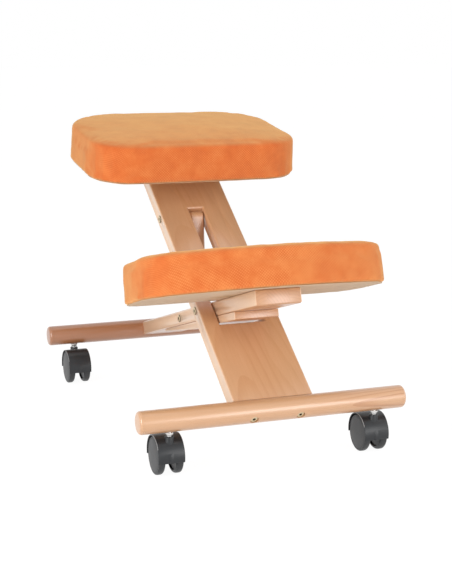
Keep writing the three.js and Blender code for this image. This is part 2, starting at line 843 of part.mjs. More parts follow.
// The stem screws into the bar up to its collar, and turns in the hood's socket.
function castorStem() {
  const radius = stemDiameter / 2;
  const collar = stemCollarDiameter / 2;
  const low = socketTop - socketDepth + seatGap;
  const collarTop = castorHeight - seatGap;
  const high = castorHeight + stemGrip;
  const chamfer = boltTipChamfer;
  return turned([
    [0, low],
    [radius - chamfer, low],
    [radius, low + chamfer],
    [radius, collarTop - stemCollarThickness],
    [collar, collarTop - stemCollarThickness],
    [collar, collarTop],
    [radius, collarTop],
    [radius, high - chamfer],
    [radius - chamfer, high],
    [0, high],
  ], pinSides);
}

// Assembly

const chair = new THREE.Group();

const boardFrame = new THREE.Group();
boardFrame.position.set(0, -barSpacing / 2, barHeight);
boardFrame.rotation.x = rad(boardIncline);
chair.add(boardFrame);

const seatFrame = new THREE.Group();
seatFrame.position.set(0, boardReach, 0);
seatFrame.rotation.x = rad(-bevelAngle);
boardFrame.add(seatFrame);

const seatPadFrame = new THREE.Group();
seatPadFrame.position.set(0, -seatOverhang, 0);
seatFrame.add(seatPadFrame);

const beamFrame = new THREE.Group();
beamFrame.position.set(0, barSpacing / 2, barHeight);
beamFrame.rotation.x = rad(-beamIncline);
chair.add(beamFrame);

const kneePadFrame = new THREE.Group();
kneePadFrame.position.set(0, kneeOnBeam, beamThickness / 2);
beamFrame.add(kneePadFrame);

boardFrame.add(piece('main_board', mainBoard(), beech));
seatFrame.add(piece('seat_wedge', seatWedge(), beech));
beamFrame.add(piece('lower_beam', lowerBeam(), beech));
beamFrame.add(piece('beam_doubler', beamDoubler(), beech));

// The bolts across the board and the beam: one at the crossing, one at the strut's foot.
for (const [name, frame, place, width] of [
  ['pivot', boardFrame, crossingOnBoard, boardWidth],
  ['strut_foot', beamFrame, -strutFootOnBeam, beamWidth],
]) {
  const bolt = piece(`${name}_bolt`, crossBolt(width), zincSteel);
  const nut = piece(`${name}_nut`, crossNut(width), zincSteel);
  bolt.position.y = place;
  nut.position.y = place;
  frame.add(bolt, nut);
}

for (const [name, frame, pad] of [['seat', seatPadFrame, seatPad], ['knee', kneePadFrame, kneePad]]) {
  frame.add(piece(`${name}_board`, padBoard(pad), plywood));
  frame.add(piece(`${name}_lining`, padLining(pad), lining));
  frame.add(piece(`${name}_cushion`, padCushion(pad), upholstery));
  for (const { label, x, y, grip } of pad.bolts) {
    const nut = piece(`${name}_tee_nut_${label}`, padTeeNut(), plainSteel);
    const bolt = piece(`${name}_bolt_${label}`, padBolt(grip), zincSteel);
    nut.position.set(x, y, 0);
    bolt.position.set(x, y, 0);
    frame.add(nut, bolt);
  }
}

// In this frame Y runs from the rear bar up the beam, as it does in the board's.
const beamEndFrame = new THREE.Group();
beamEndFrame.rotation.z = rad(180);
beamFrame.add(beamEndFrame);

for (const side of [-1, 1]) {
  const label = sideNames[side];
  boardFrame.add(piece(`strut_head_bolt_${label}`, strutHeadBolt(side), zincSteel));
  for (const [end, frame, spread, thickness, outward] of [
    ['front', boardFrame, frontBoltSpread, boardThickness, side],
    ['rear', beamEndFrame, rearBoltSpread, beamThickness, -side],
  ]) {
    const bolt = piece(`${end}_bar_bolt_${label}`, barBolt(), zincSteel);
    const nut = piece(`${end}_barrel_nut_${label}`, barrelNut(thickness), plainSteel);
    bolt.position.x = outward * spread / 2;
    nut.position.x = outward * spread / 2;
    frame.add(bolt, nut);
  }
}

const strutFrame = new THREE.Group();
strutFrame.position.set(0, -strutFootOnBeam, 0);
strutFrame.rotation.x = rad(2 * crossingAngle);
beamFrame.add(strutFrame);
strutFrame.add(piece('strut', strut(), beech));
strutFrame.add(piece('strut_sleeve', strutSleeve(), plainSteel));

const ends = [
  { end: 'front', y: -barSpacing / 2, slope: rad(boardIncline), spread: frontBoltSpread, turn: 0 },
  { end: 'rear', y: barSpacing / 2, slope: rad(180 - beamIncline), spread: rearBoltSpread, turn: rad(180) },
];

for (const { end, y, slope, spread, turn } of ends) {
  const bar = piece(`${end}_crossbar`, crossbar(slope, spread), beech);
  bar.position.set(0, y, barHeight);
  chair.add(bar);
  for (const side of [-1, 1]) {
    const name = `${end}_${sideNames[side]}_castor`;
    const castor = new THREE.Group();
    castor.position.set(side * castorSpacing / 2, y, 0);
    castor.rotation.z = turn;
    chair.add(castor);
    const outerSide = turn ? -side : side;
    castor.add(piece(`${name}_stem`, castorStem(), plainSteel));
    castor.add(piece(`${name}_hood`, castorHood(), blackNylon));
    castor.add(piece(`${name}_axle`, castorAxle(), plainSteel));
    castor.add(piece(`${name}_outer_wheel`, castorWheel(outerSide), blackNylon));
    castor.add(piece(`${name}_inner_wheel`, castorWheel(-outerSide), blackNylon));
  }
}

chair.updateMatrixWorld(true);
const overall = new THREE.Box3().setFromObject(chair);
const middle = overall.getCenter(new THREE.Vector3());
chair.position.set(-middle.x, -middle.y, -overall.min.z);
chair.updateMatrixWorld(true);

export default chair;
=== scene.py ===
"""A kneeling chair: a crossed beech frame, two padded rests in orange velour, and four twin-wheel castors.

Metres. +Y runs back and +Z is up; left is -X. The origin is on the floor under the middle of the chair.
"""

import json
from math import atan2, cos, hypot, pi, radians, sin, tau

import bmesh
import bpy
from mathutils import Matrix, Vector, noise

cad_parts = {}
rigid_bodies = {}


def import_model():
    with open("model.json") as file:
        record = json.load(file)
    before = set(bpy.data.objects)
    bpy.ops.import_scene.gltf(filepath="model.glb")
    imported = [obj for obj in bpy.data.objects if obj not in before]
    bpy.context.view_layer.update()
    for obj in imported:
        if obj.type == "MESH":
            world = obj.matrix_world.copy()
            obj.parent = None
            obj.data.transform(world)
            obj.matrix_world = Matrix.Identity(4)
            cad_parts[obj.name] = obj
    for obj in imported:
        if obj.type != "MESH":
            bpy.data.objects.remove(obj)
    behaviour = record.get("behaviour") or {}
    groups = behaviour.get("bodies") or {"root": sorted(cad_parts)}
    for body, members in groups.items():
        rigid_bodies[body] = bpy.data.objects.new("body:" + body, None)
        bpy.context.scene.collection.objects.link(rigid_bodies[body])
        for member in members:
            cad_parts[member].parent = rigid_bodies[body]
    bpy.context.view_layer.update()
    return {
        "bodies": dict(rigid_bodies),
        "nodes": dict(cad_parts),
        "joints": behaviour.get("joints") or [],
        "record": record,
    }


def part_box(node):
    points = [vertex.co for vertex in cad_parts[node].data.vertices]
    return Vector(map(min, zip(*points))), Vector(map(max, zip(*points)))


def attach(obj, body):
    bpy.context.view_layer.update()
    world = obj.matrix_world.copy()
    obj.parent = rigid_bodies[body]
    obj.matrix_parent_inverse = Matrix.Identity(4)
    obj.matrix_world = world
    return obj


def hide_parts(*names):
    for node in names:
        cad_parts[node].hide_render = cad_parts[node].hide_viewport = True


MM = 0.001

# Sizes and places of the frame, as the solid model has them
BOARD_INCLINE = radians(33.6)
BEAM_INCLINE = radians(16.8)
SEAT_TILT = radians(7.8)
BOARD_WIDTH = 138.6 * MM
BOARD_REACH = 639.5 * MM
BEAM_WIDTH = 78 * MM
BEAM_THICKNESS = 26 * MM
BEAM_REACH = 652 * MM
SEAT_OVERHANG = 192 * MM
KNEE_SETBACK = 23 * MM
BAR_RADIUS = 18.75 * MM
BAR_LENGTH = 460 * MM
BAR_END_ROUND = 5 * MM

# Bolts
BAR_BOLT_RECESS = 6 * MM
BAR_BOLT_SPREADS = {"front": 80.5 * MM, "rear": 40 * MM}
LARGE_HEAD_RADIUS = 6.75 * MM
LARGE_HEAD_HEIGHT = 3.5 * MM
LARGE_HEAD_PROUD = 1.5 * MM
LARGE_SHANK_RADIUS = 4 * MM
LARGE_SOCKET_RADIUS = 2.9 * MM
LARGE_SOCKET_DEPTH = 2.2 * MM
RECESS_RADIUS = 7.05 * MM
RECESS_FLOOR = BAR_BOLT_RECESS - BAR_RADIUS
BAR_SCREW_LENGTH = 80 * MM
BAR_HEAD_GAP = 0.3 * MM
NUT_CAP_LENGTH = 0.5 * MM
SHANK_GAP = 1 * MM
SMALL_HEAD_RADIUS = 5.5 * MM
SMALL_HEAD_HEIGHT = 3 * MM
SMALL_SHANK_RADIUS = 3 * MM
SMALL_SOCKET_RADIUS = 2.3 * MM
SMALL_SOCKET_DEPTH = 1.8 * MM
SMALL_TIP_GAP = 0.3 * MM
CROWN_SHARE = 0.3
# Where painted shade lies on a bolt head: in the socket and round the rim, with a faint darkening elsewhere
SHADED_SOCKET_SHARE = 0.6
SHADED_RIM_SHARE = 0.97
FAINT_DARKENING = 0.15
SEAT_BOLT_SPREAD = 92 * MM
SEAT_BOLTS = {"front": (55 * MM, 30 * MM), "rear": (5 * MM, 8 * MM)}
KNEE_BOLT_SETBACKS = {"front": 46 * MM, "rear": 152 * MM}
KNEE_BOLT_GRIP = 18 * MM
PAD_BOARD_TOP = 13.6 * MM

# Castors
WHEEL_RADIUS = 31 * MM
WHEEL_TREAD = 13 * MM
WHEEL_DOME = 1.2 * MM
WHEEL_SHOULDER = 3 * MM
WHEEL_BACK_ROUND = ((0, 4.4), (0.6, 2.3), (1.9, 0.8), (3.9, 0))
WHEEL_HOLLOW_RADIUS = 25.8 * MM
WHEEL_HOLLOW_DEPTH = 2.6 * MM
WHEEL_HOLLOW_EASE = 0.4 * MM
WHEEL_HUB_RADIUS = 7 * MM
WHEEL_HUB_GAP = 0.4 * MM
WHEEL_BORE_RADIUS = 3.3 * MM
WHEEL_BORE_COVER = 4.7 * MM
CASTOR_HALF = 22 * MM
CASTOR_TRAIL = 17.5 * MM
HOOD_INNER = 32 * MM
HOOD_OUTER = 34 * MM
HOOD_HALF = 22 * MM
HOOD_TAPER = radians(60)
HOOD_TAPER_SHARE = 0.35
HOOD_DRAW_IN = 0.7 * MM
HOOD_LIP = 1 * MM
HOOD_DROP = radians(10)
WEB_HALF = 3.5 * MM
WEB_BITE = 1 * MM
AXLE_BOSS_RADIUS = 8 * MM
AXLE_BOSS_PROUD = 0.2 * MM
SOCKET_RADIUS = 7.25 * MM
SOCKET_TOP = 66.5 * MM
STEM_RADIUS = 4 * MM
STEM_TOP = 73.7 * MM
COLLAR_RADIUS = 6.5 * MM
COLLAR_THICKNESS = 4.6 * MM
STEM_BOTTOM = 40.8 * MM

# The camera, solved from the photograph
CAMERA_PLACE = (-0.80133, -2.2291, 0.71876)
CAMERA_YAW = 0.35554
CAMERA_PITCH = 0.20457
CAMERA_ROLL = 0.00384
CAMERA_FOCUS_PX = 1347.86
IMAGE_HEIGHT_PX = 584
SENSOR = 36

SIDES = {"left": -1, "right": 1}


# Colours, given as they look on a screen


def linear(red, green, blue):
    """A colour written in screen values from 0 to 255, as a shader colour."""
    shares = [value / 255 for value in (red, green, blue)]
    return tuple(s / 12.92 if s <= 0.04045 else ((s + 0.055) / 1.055) ** 2.4 for s in shares) + (1,)


# Shading


class Amount:
    """A number that changes over a surface, with the arithmetic that shading needs."""

    def __init__(self, finish, socket):
        self.finish = finish
        self.socket = socket

    def maths(self, operation, *operands):
        return self.finish.node("ShaderNodeMath", operands, operation=operation)

    def __add__(self, other):
        return self.maths("ADD", self, other)

    __radd__ = __add__

    def __sub__(self, other):
        return self.maths("SUBTRACT", self, other)

    def __rsub__(self, other):
        return self.maths("SUBTRACT", other, self)

    def __mul__(self, other):
        return self.maths("MULTIPLY", self, other)

    __rmul__ = __mul__

    def __truediv__(self, other):
        return self.maths("DIVIDE", self, other)

    def part(self):
        return self.maths("FRACT", self)

    def whole(self):
        return self.maths("FLOOR", self)

    def wave(self):
        return self.maths("SINE", self)

    def size(self):
        return self.maths("ABSOLUTE", self)

    def root(self):
        return self.maths("SQRT", self)

    def held(self, low, high):
        """0 up to low and 1 from high, with a soft step between."""
        inputs = {"Value": self, "From Min": low, "From Max": high}
        return self.finish.node("ShaderNodeMapRange", inputs, interpolation_type="SMOOTHSTEP")


class Finish:
    """One material, built from a Principled shader and the nodes that feed it."""

    def __init__(self, name, **sockets):
        self.material = bpy.data.materials.new(name)
        self.material.use_nodes = True
        self.tree = self.material.node_tree
        self.shader = self.tree.nodes["Principled BSDF"]
        for socket, value in sockets.items():
            self.shader.inputs[socket.replace("_", " ")].default_value = value

    def node(self, kind, inputs=(), output=0, **settings):
        """Adds a node of this kind, sets it, feeds its sockets and returns one of its outputs."""
        made = self.tree.nodes.new(kind)
        stops = settings.pop("stops", None)
        for setting, value in settings.items():
            setattr(made, setting, value)
        if stops:
            ramp = made.color_ramp.elements
            while len(ramp) < len(stops):
                ramp.new(1)
            for element, (position, colour) in zip(ramp, stops):
                element.position = position
                element.color = colour
        feeds = inputs.items() if isinstance(inputs, dict) else enumerate(inputs)
        for key, value in feeds:
            if isinstance(value, Amount):
                self.tree.links.new(value.socket, made.inputs[key])
            else:
                made.inputs[key].default_value = value
        return Amount(self, made.outputs[output])

    def feed(self, socket, value):
        self.tree.links.new(value.socket, self.shader.inputs[socket])

    def mixed(self, factor, first, second):
        """A colour between two colours; the numbers are the node's sockets for colours."""
        inputs = {0: factor, 6: first, 7: second}
        return self.node("ShaderNodeMix", inputs, output=2, data_type="RGBA")

    def toned(self, tone, *stops):
        """A colour from a ramp of (position, colour) stops."""
        return self.node("ShaderNodeValToRGB", [tone], stops=stops)

    def mark(self, name):
        """How strongly the piece's own attribute marks a point, from 0 to 1."""
        return self.node("ShaderNodeAttribute", output="Fac", attribute_name=name)

    def place(self, frame=None):
        """Object coordinates, or the same seen from a member's own frame."""
        place = self.node("ShaderNodeTexCoord", output="Object")
        if frame is None:
            return place
        turn = frame.to_euler("XYZ")
        inputs = {"Vector": place, "Location": frame.translation, "Rotation": turn}
        return self.node("ShaderNodeMapping", inputs, vector_type="TEXTURE")

    def apart(self, vector):
        """The three parts of a vector."""
        split = self.node("ShaderNodeSeparateXYZ", [vector]).socket.node
        return [Amount(self, output) for output in split.outputs]

    def vector(self, x, y, z):
        return self.node("ShaderNodeCombineXYZ", [x, y, z])

    def clouds(self, vector, scale, detail=3, roughness=0.5):
        inputs = {"Vector": vector, "Scale": scale, "Detail": detail, "Roughness": roughness}
        return self.node("ShaderNodeTexNoise", inputs)

    def bumped(self, height, depth, strength=1.0):
        """Feeds the shader's normal from a height from 0 to 1, worth this depth in metres."""
        inputs = {"Height": height, "Distance": depth, "Strength": strength}
        self.feed("Normal", self.node("ShaderNodeBump", inputs))


BEECH_LIGHT = linear(217, 171, 130)
BEECH_MIDDLE = linear(203, 150, 107)
BEECH_DARK = linear(170, 112, 74)
# Painted highlight: the pale colour that the narrow sides of the board and beam are mixed towards, standing
# in for light and lacquer reflection on them
BEECH_SIDE_HIGHLIGHT = linear(240, 207, 174)
BEECH_FLECK = linear(160, 108, 70)
GROUND_TONE = 0.11
STRIP_SEED = 7.31
STRIP_ASIDE = 0.21
STRIP_AHEAD = 0.9
STRIP_SHARE = 0.14
RING_SPACING = 5.5 * MM
RING_WANDER = 0.05
RING_LEAN = 0.045
RING_FADE = 60 * MM
LATE_WOOD = (0.5, 0.97)
FLECK_LENGTH = 2.6 * MM
FLECK_WIDTH = 0.55 * MM
FLECK_EDGE = (0.16, 0.34)
# Where the painted highlight on the narrow sides starts and where it is full, measured in from each side
HIGHLIGHT_START = 1.2 * MM
HIGHLIGHT_FULL = 0.6 * MM


def beech(
    name, frame, heart, stave=None, tint=0.0, rings_share=0.2, streaks_share=0.22, half=None,
    rings_from=None,
):
    """Lacquered beech whose fibres run along the frame's Y.

    heart is where the tree's middle lies, across and below the member; stave is the width of glued strips;
    tint darkens it; rings_share and streaks_share are how plainly the yearly rings and the fibres show;
    half is half the member's width, where a painted highlight makes its narrow sides paler; the rings show
    from rings_from on.
    """
    finish = Finish(name, Roughness=0.42, IOR=1.45, Coat_Weight=1.0, Coat_Roughness=0.28, Coat_IOR=1.65)
    across, along, through = finish.apart(finish.place(frame))
    width_place, place_along = across, along
    strip_tone = 0.5
    if stave:
        seed = (across / stave + 0.5).whole() * STRIP_SEED
        strip_tone = finish.node("ShaderNodeTexWhiteNoise", {"W": seed}, noise_dimensions="1D")
        across = across + strip_tone * STRIP_ASIDE
        along = along + strip_tone * STRIP_AHEAD

    def grain(stretch, scale, detail, roughness=0.5):
        """Clouds drawn out along the fibres; the smaller stretch is, the longer they are."""
        return finish.clouds(finish.vector(across, along * stretch, through), scale, detail, roughness)

    drift = grain(0.22, 9, 2)
    heart_x, heart_z = heart
    dx = across - heart_x + (drift - 0.5) * RING_WANDER
    dz = through - heart_z + along * RING_LEAN
    rings = (dx * dx + dz * dz).root() / RING_SPACING
    late = rings.part().held(*LATE_WOOD)
    fade = grain(0.1, 30, 2)
    if rings_from is not None:
        fade = fade * place_along.held(rings_from - RING_FADE, rings_from + RING_FADE)
    fibres = grain(0.035, 1300, 2, 0.6)
    streaks = grain(0.05, 260, 3, 0.6)
    fleck_place = finish.vector(across / FLECK_WIDTH, along / FLECK_LENGTH, through / FLECK_WIDTH)
    cell = finish.node("ShaderNodeTexVoronoi", {"Vector": fleck_place, "Scale": 1, "Randomness": 1})
    fleck = 1 - cell.held(*FLECK_EDGE)
    tone = rings_share * late * fade + streaks_share * streaks + 0.5 * streaks_share * fibres
    tone = tone + STRIP_SHARE * strip_tone + (tint + GROUND_TONE)
    colour = finish.toned(tone, (0.18, BEECH_LIGHT), (0.50, BEECH_MIDDLE), (0.92, BEECH_DARK))
    # Painted highlight: both narrow sides are mixed three quarters of the way towards a pale colour
    if half:
        side_highlight = width_place.size().held(half - HIGHLIGHT_START, half - HIGHLIGHT_FULL)
        colour = finish.mixed(side_highlight * 0.75, colour, BEECH_SIDE_HIGHLIGHT)
    colour = finish.mixed(fleck * 0.22, colour, BEECH_FLECK)
    finish.feed("Base Color", colour)
    finish.feed("Roughness", 0.36 + 0.14 * streaks)
    finish.bumped(0.6 * fibres + 0.4 * (1 - fleck), 0.06 * MM, 0.5)
    return finish.material


def plywood():
    """Raw plywood: pale faces with the layers' lines at the edges."""
    finish = Finish("raw plywood", Roughness=0.75)
    x, y, z = finish.apart(finish.place())
    streaks = finish.clouds(finish.vector(x, y * 0.1, z), 220, 3)
    colour = finish.mixed(streaks, linear(214, 182, 142), linear(188, 150, 110))
    finish.feed("Base Color", colour)
    finish.bumped(streaks, 0.1 * MM)
    return finish.material


VELOUR_DEEP = linear(198, 84, 33)
VELOUR = linear(216, 105, 46)
VELOUR_PALE = linear(230, 135, 71)
VELOUR_DOT = linear(204, 94, 34)
VELOUR_TUFT = linear(246, 166, 100)
MESH_PITCH = 4.8 * MM
MESH_EDGE = (0.05, 0.7)


def velour(name, lift):
    """Short orange pile with a fine mesh of dots pressed in, over the cover's own flat coordinates.

    lift makes it paler: painted light, so that one rest looks more brightly lit than the other.
    """
    finish = Finish(
        name, Roughness=0.9, Sheen_Weight=0.85, Sheen_Roughness=0.58, Sheen_Tint=linear(255, 222, 156),
        Specular_IOR_Level=0.2,
    )
    u, v, _ = finish.apart(finish.node("ShaderNodeUVMap", uv_map="cover"))
    pressed = finish.clouds(finish.place(), 34, 2).held(0.3, 0.66) * 0.75 + 0.25
    mesh = (u * (tau / MESH_PITCH)).wave() * (v * (tau / MESH_PITCH)).wave() * pressed
    dots = mesh.held(*MESH_EDGE)
    tufts = (0 - mesh).held(*MESH_EDGE)
    brushed = finish.clouds(finish.place(), 26, 4, 0.65)
    nap = finish.clouds(finish.vector(u, v * 0.45, 0), 2200, 2, 0.7)
    # lift is painted light: it raises the tone of one rest's copy of the velour so that it looks more lit
    tone = 0.62 * brushed + 0.38 * nap + lift
    colour = finish.toned(tone, (0.30, VELOUR_DEEP), (0.5, VELOUR), (0.72, VELOUR_PALE))
    colour = finish.mixed(dots * 0.4, colour, VELOUR_DOT)
    colour = finish.mixed(tufts * 0.3, colour, VELOUR_TUFT)
    finish.feed("Base Color", colour)
    finish.bumped(0.55 * nap - 0.45 * dots + 0.45, 0.35 * MM, 0.6)
    return finish.material


def felt():
    """The beige cloth under each rest."""
    finish = Finish("beige lining", Roughness=0.95, Sheen_Weight=0.2)
    place = finish.place()
    fluff = finish.clouds(place, 900, 3, 0.7)
    patches = finish.clouds(place, 40, 3)
    colour = finish.mixed(0.6 * fluff + 0.4 * patches, linear(224, 192, 154), linear(194, 159, 119))
    finish.feed("Base Color", colour)
    finish.bumped(fluff, 0.3 * MM, 0.7)
    return finish.material


MARK_EDGE = (0.1, 0.9)


def nylon(name, colour, roughness, edged=False):
    """Moulded black nylon with a fine grain, and a painted highlight, pale grey, where a piece's own
    attribute marks its rim.
    """
    finish = Finish(name, Base_Color=colour)
    place = finish.place()
    if edged:
        # Painted highlight: the marked rims are mixed towards pale grey
        rim_highlight = finish.mark("rim_highlight").held(*MARK_EDGE)
        finish.feed("Base Color", finish.mixed(rim_highlight, colour, linear(172, 172, 172)))
    grain = finish.clouds(place, 2600, 2, 0.6)
    handled = finish.clouds(place, 60, 3)
    finish.feed("Roughness", roughness + 0.12 * handled)
    finish.bumped(grain, 0.05 * MM, 0.5)
    return finish.material


def metal(name, colour, roughness, shaded_recesses=False):
    """Plated steel with faint handling marks, and painted shade, dark brown and less metallic, where a
    piece's own attribute puts it.
    """
    finish = Finish(name, Metallic=1.0)
    marks = finish.clouds(finish.place(), 700, 3, 0.6)
    plating = finish.mixed(marks, colour, tuple(part * 0.8 for part in colour[:3]) + (1,))
    if shaded_recesses:
        painted_shade = finish.mark("painted_shade")
        # Painted shade: the marked sockets and rims go dark brown and less metallic, in place of the shadow
        # in them
        plating = finish.mixed(painted_shade.held(*MARK_EDGE), plating, linear(52, 40, 32))
        finish.feed("Metallic", 1 - 0.7 * painted_shade)
    finish.feed("Base Color", plating)
    finish.feed("Roughness", roughness + 0.1 * marks)
    return finish.material


# Modelling helpers

WELD = 0.01 * MM


def linked(name, data):
    """A new object in the scene."""
    made = bpy.data.objects.new(name, data)
    bpy.context.scene.collection.objects.link(made)
    return made


def only(piece):
    """Selects this piece alone and makes it active."""
    if bpy.context.mode != "OBJECT":
        bpy.ops.object.mode_set(mode="OBJECT")
    bpy.ops.object.select_all(action="DESELECT")
    piece.select_set(True)
    bpy.context.view_layer.objects.active = piece
    return piece


def added(name):
    """The primitive that was just added, alone in the selection, under its own name."""
    piece = bpy.context.object
    piece.name = name
    return only(piece)


def cylinder(name, radius, low, high, sides=48):
    """A round rod along Z between two heights."""
    bpy.ops.object.select_all(action="DESELECT")
    bpy.ops.mesh.primitive_cylinder_add(
        vertices=sides, radius=radius, depth=high - low, location=(0, 0, (low + high) / 2)
    )
    piece = added(name)
    bpy.ops.object.transform_apply()
    return piece


def with_modifier(piece, kind, **settings):
    """Adds a modifier, sets it and applies it."""
    only(piece)
    modifier = piece.modifiers.new(kind.title(), kind)
    for setting, value in settings.items():
        setattr(modifier, setting, value)
    bpy.ops.object.modifier_apply(modifier=modifier.name)
    return piece


def cut(piece, *cutters):
    """Takes each cutter's solid out of the piece."""
    for cutter in cutters:
        with_modifier(piece, "BOOLEAN", operation="DIFFERENCE", solver="EXACT", object=cutter)
        bpy.data.objects.remove(cutter)
    return piece


def united(piece, *others):
    for other in others:
        with_modifier(piece, "BOOLEAN", operation="UNION", solver="EXACT", object=other)
        bpy.data.objects.remove(other)
    return piece


def rounded(piece, width, segments=3, angle=radians(30)):
    """Rounds the edges that turn by more than the angle."""
    return with_modifier(
        piece, "BEVEL", width=width, segments=segments, limit_method="ANGLE", angle_limit=angle,
        use_clamp_overlap=True,
    )


def smoothed(piece, angle=radians(35)):
    only(piece)
    bpy.ops.object.shade_smooth_by_angle(angle=angle)
    return piece


def moved(piece, frame):
    """Puts the piece's mesh in a frame, with its object left at the origin."""
    only(piece)
    piece.matrix_world = frame @ piece.matrix_world
    bpy.ops.object.transform_apply()
    return piece


def copied(piece, name):
    """A copy with its own mesh."""
    copy = piece.copy()
    copy.data = piece.data.copy()
    copy.name = name
    bpy.context.scene.collection.objects.link(copy)
    return copy


def spun(name, profile, steps, sweep=tau):
    """Turns [radius, height] points about Z; a full turn is closed."""
    bpy.ops.object.select_all(action="DESELECT")
    bpy.ops.mesh.primitive_plane_add(size=1, location=(0, 0, 0))
    piece = added(name)
    bpy.ops.object.mode_set(mode="EDIT")
    bpy.ops.mesh.merge(type="CENTER")
    first, *rest = [Vector((radius, 0, height)) for radius, height in profile]
    bpy.ops.transform.translate(value=first)
    at = first
    for point in rest:
        bpy.ops.mesh.extrude_region_move(TRANSFORM_OT_translate={"value": point - at})
        at = point
    bpy.ops.mesh.select_all(action="SELECT")
    bpy.ops.mesh.spin(steps=steps, angle=sweep, center=(0, 0, 0), axis=(0, 0, 1))
    bpy.ops.mesh.select_all(action="SELECT")
    bpy.ops.mesh.remove_doubles(threshold=WELD)
    bpy.ops.mesh.normals_make_consistent(inside=False)
    bpy.ops.object.mode_set(mode="OBJECT")
    return piece


def finished(piece, body, material, slot, *nodes):
    """Gives a piece its material and body, and hides the solids that it stands for."""
    piece.data.materials.clear()
    piece.data.materials.append(material)
    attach(piece, body)
    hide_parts(*nodes)


ALONG_X = Matrix.Rotation(radians(90), 4, "Y")
ALONG_Y = Matrix.Rotation(radians(-90), 4, "X")
HALF_TURN = Matrix.Rotation(pi, 4, "Z")


def shift(x, y, z):
    return Matrix.Translation((x, y, z))


def tilt(angle):
    return Matrix.Rotation(angle, 4, "X")


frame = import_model()
nodes = frame["nodes"]


def middle(node):
    low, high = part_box(node)
    return (low + high) / 2


FRONT_BAR = middle("front_crossbar")
REAR_BAR = middle("rear_crossbar")
BOARD = Matrix.Translation(FRONT_BAR) @ tilt(BOARD_INCLINE)
BEAM = Matrix.Translation(REAR_BAR) @ tilt(-BEAM_INCLINE)
SEAT = BOARD @ shift(0, BOARD_REACH, 0) @ tilt(SEAT_TILT - BOARD_INCLINE)
SEAT_PAD = SEAT @ shift(0, -SEAT_OVERHANG, 0)
KNEE_PAD = BEAM @ shift(0, KNEE_SETBACK - BEAM_REACH, BEAM_THICKNESS / 2)
PIVOT = middle("pivot_bolt")
STRUT_FOOT = middle("strut_foot_bolt")
STRUT_HEAD = middle("strut_head_bolt_left")
STRUT_LEAN = atan2(STRUT_HEAD.z - STRUT_FOOT.z, STRUT_HEAD.y - STRUT_FOOT.y)
STRUT = shift(0, STRUT_FOOT.y, STRUT_FOOT.z) @ tilt(STRUT_LEAN)


def aimed_camera():
    camera_data = bpy.data.cameras.new("camera")
    camera = linked("camera", camera_data)
    camera_data.sensor_width = SENSOR
    camera_data.lens = SENSOR * CAMERA_FOCUS_PX / IMAGE_HEIGHT_PX
    camera_data.clip_end = 50
    turn = Matrix.Rotation(-CAMERA_YAW, 4, "Z") @ tilt(radians(90) - CAMERA_PITCH)
    camera.matrix_world = Matrix.Translation(CAMERA_PLACE) @ turn @ Matrix.Rotation(CAMERA_ROLL, 4, "Z")
    bpy.context.scene.camera = camera


# Wooden members


WOOD_EASE = 0.7 * MM


def softened(node):
    """A copy of a solid with its flat faces whole and its edges eased."""
    piece = linked(f"{node}_wood", nodes[node].data.copy())
    only(piece)
    bpy.ops.object.mode_set(mode="EDIT")
    bpy.ops.mesh.select_all(action="SELECT")
    bpy.ops.mesh.remove_doubles(threshold=WELD)
    bpy.ops.mesh.dissolve_limited(angle_limit=radians(1))
    bpy.ops.object.mode_set(mode="OBJECT")
    rounded(piece, WOOD_EASE, 2, radians(28))
    return smoothed(piece, radians(40))


def crossbar(end, memberward):
    """A turned bar with eased ends and a counterbore for each bolt, along X."""
    half = BAR_LENGTH / 2
    ease = BAR_END_ROUND
    profile = [(0, -half), (BAR_RADIUS - ease, -half)]
    for step in range(1, 6):
        angle = radians(90) * step / 6
        profile.append((BAR_RADIUS - ease + ease * sin(angle), -half + ease - ease * cos(angle)))
    profile.append((BAR_RADIUS, -half + ease))
    profile += [(radius, -height) for radius, height in reversed(profile)]
    bar = spun(f"{end}_bar", profile, 96)
    moved(bar, shift(*middle(f"{end}_crossbar")) @ ALONG_X)
    for side in SIDES.values():
        counterbore = cylinder("counterbore", RECESS_RADIUS, -2 * BAR_RADIUS, RECESS_FLOOR, 40)
        moved(counterbore, memberward @ shift(side * BAR_BOLT_SPREADS[end] / 2, 0, 0) @ ALONG_Y)
        cut(bar, counterbore)
    return smoothed(bar, radians(32))


def wooden_frame():
    board_wood = beech(
        "beech of the main board", BOARD, (0.02, -0.16), stave=45.5 * MM, tint=0.04, half=BOARD_WIDTH / 2
    )
    beam_wood = beech(
        "beech of the lower beam", BEAM, (0.05, -0.07), stave=39 * MM, tint=0.28, streaks_share=0.13,
        half=BEAM_WIDTH / 2,
    )
    strut_wood = beech("beech of the strut", STRUT, (0.03, -0.04))
    for node, body, wood in (
        ("main_board", "main_frame", board_wood),
        ("seat_wedge", "main_frame", board_wood),
        ("lower_beam", "lower_frame", beam_wood),
        ("beam_doubler", "lower_frame", beam_wood),
        ("strut", "strut", strut_wood),
    ):
        finished(softened(node), body, wood, "beech", node)
    lengthwise = Matrix.Rotation(radians(-90), 4, "Z")
    for end, body, memberward, heart, tint, rings_from in (
        ("front", "main_frame", BOARD, (0.002, 0.118), -0.02, 90 * MM),
        ("rear", "lower_frame", BEAM @ HALF_TURN, (0.03, 0.02), 0.6, None),
    ):
        bar_frame = Matrix.Translation(middle(f"{end}_crossbar")) @ lengthwise
        wood = beech(
            f"beech of the {end} bar", bar_frame @ ALONG_X, heart, tint=tint, rings_share=0.6,
            rings_from=rings_from,
        )
        finished(crossbar(end, memberward), body, wood, "beech", f"{end}_crossbar")


# Bolts


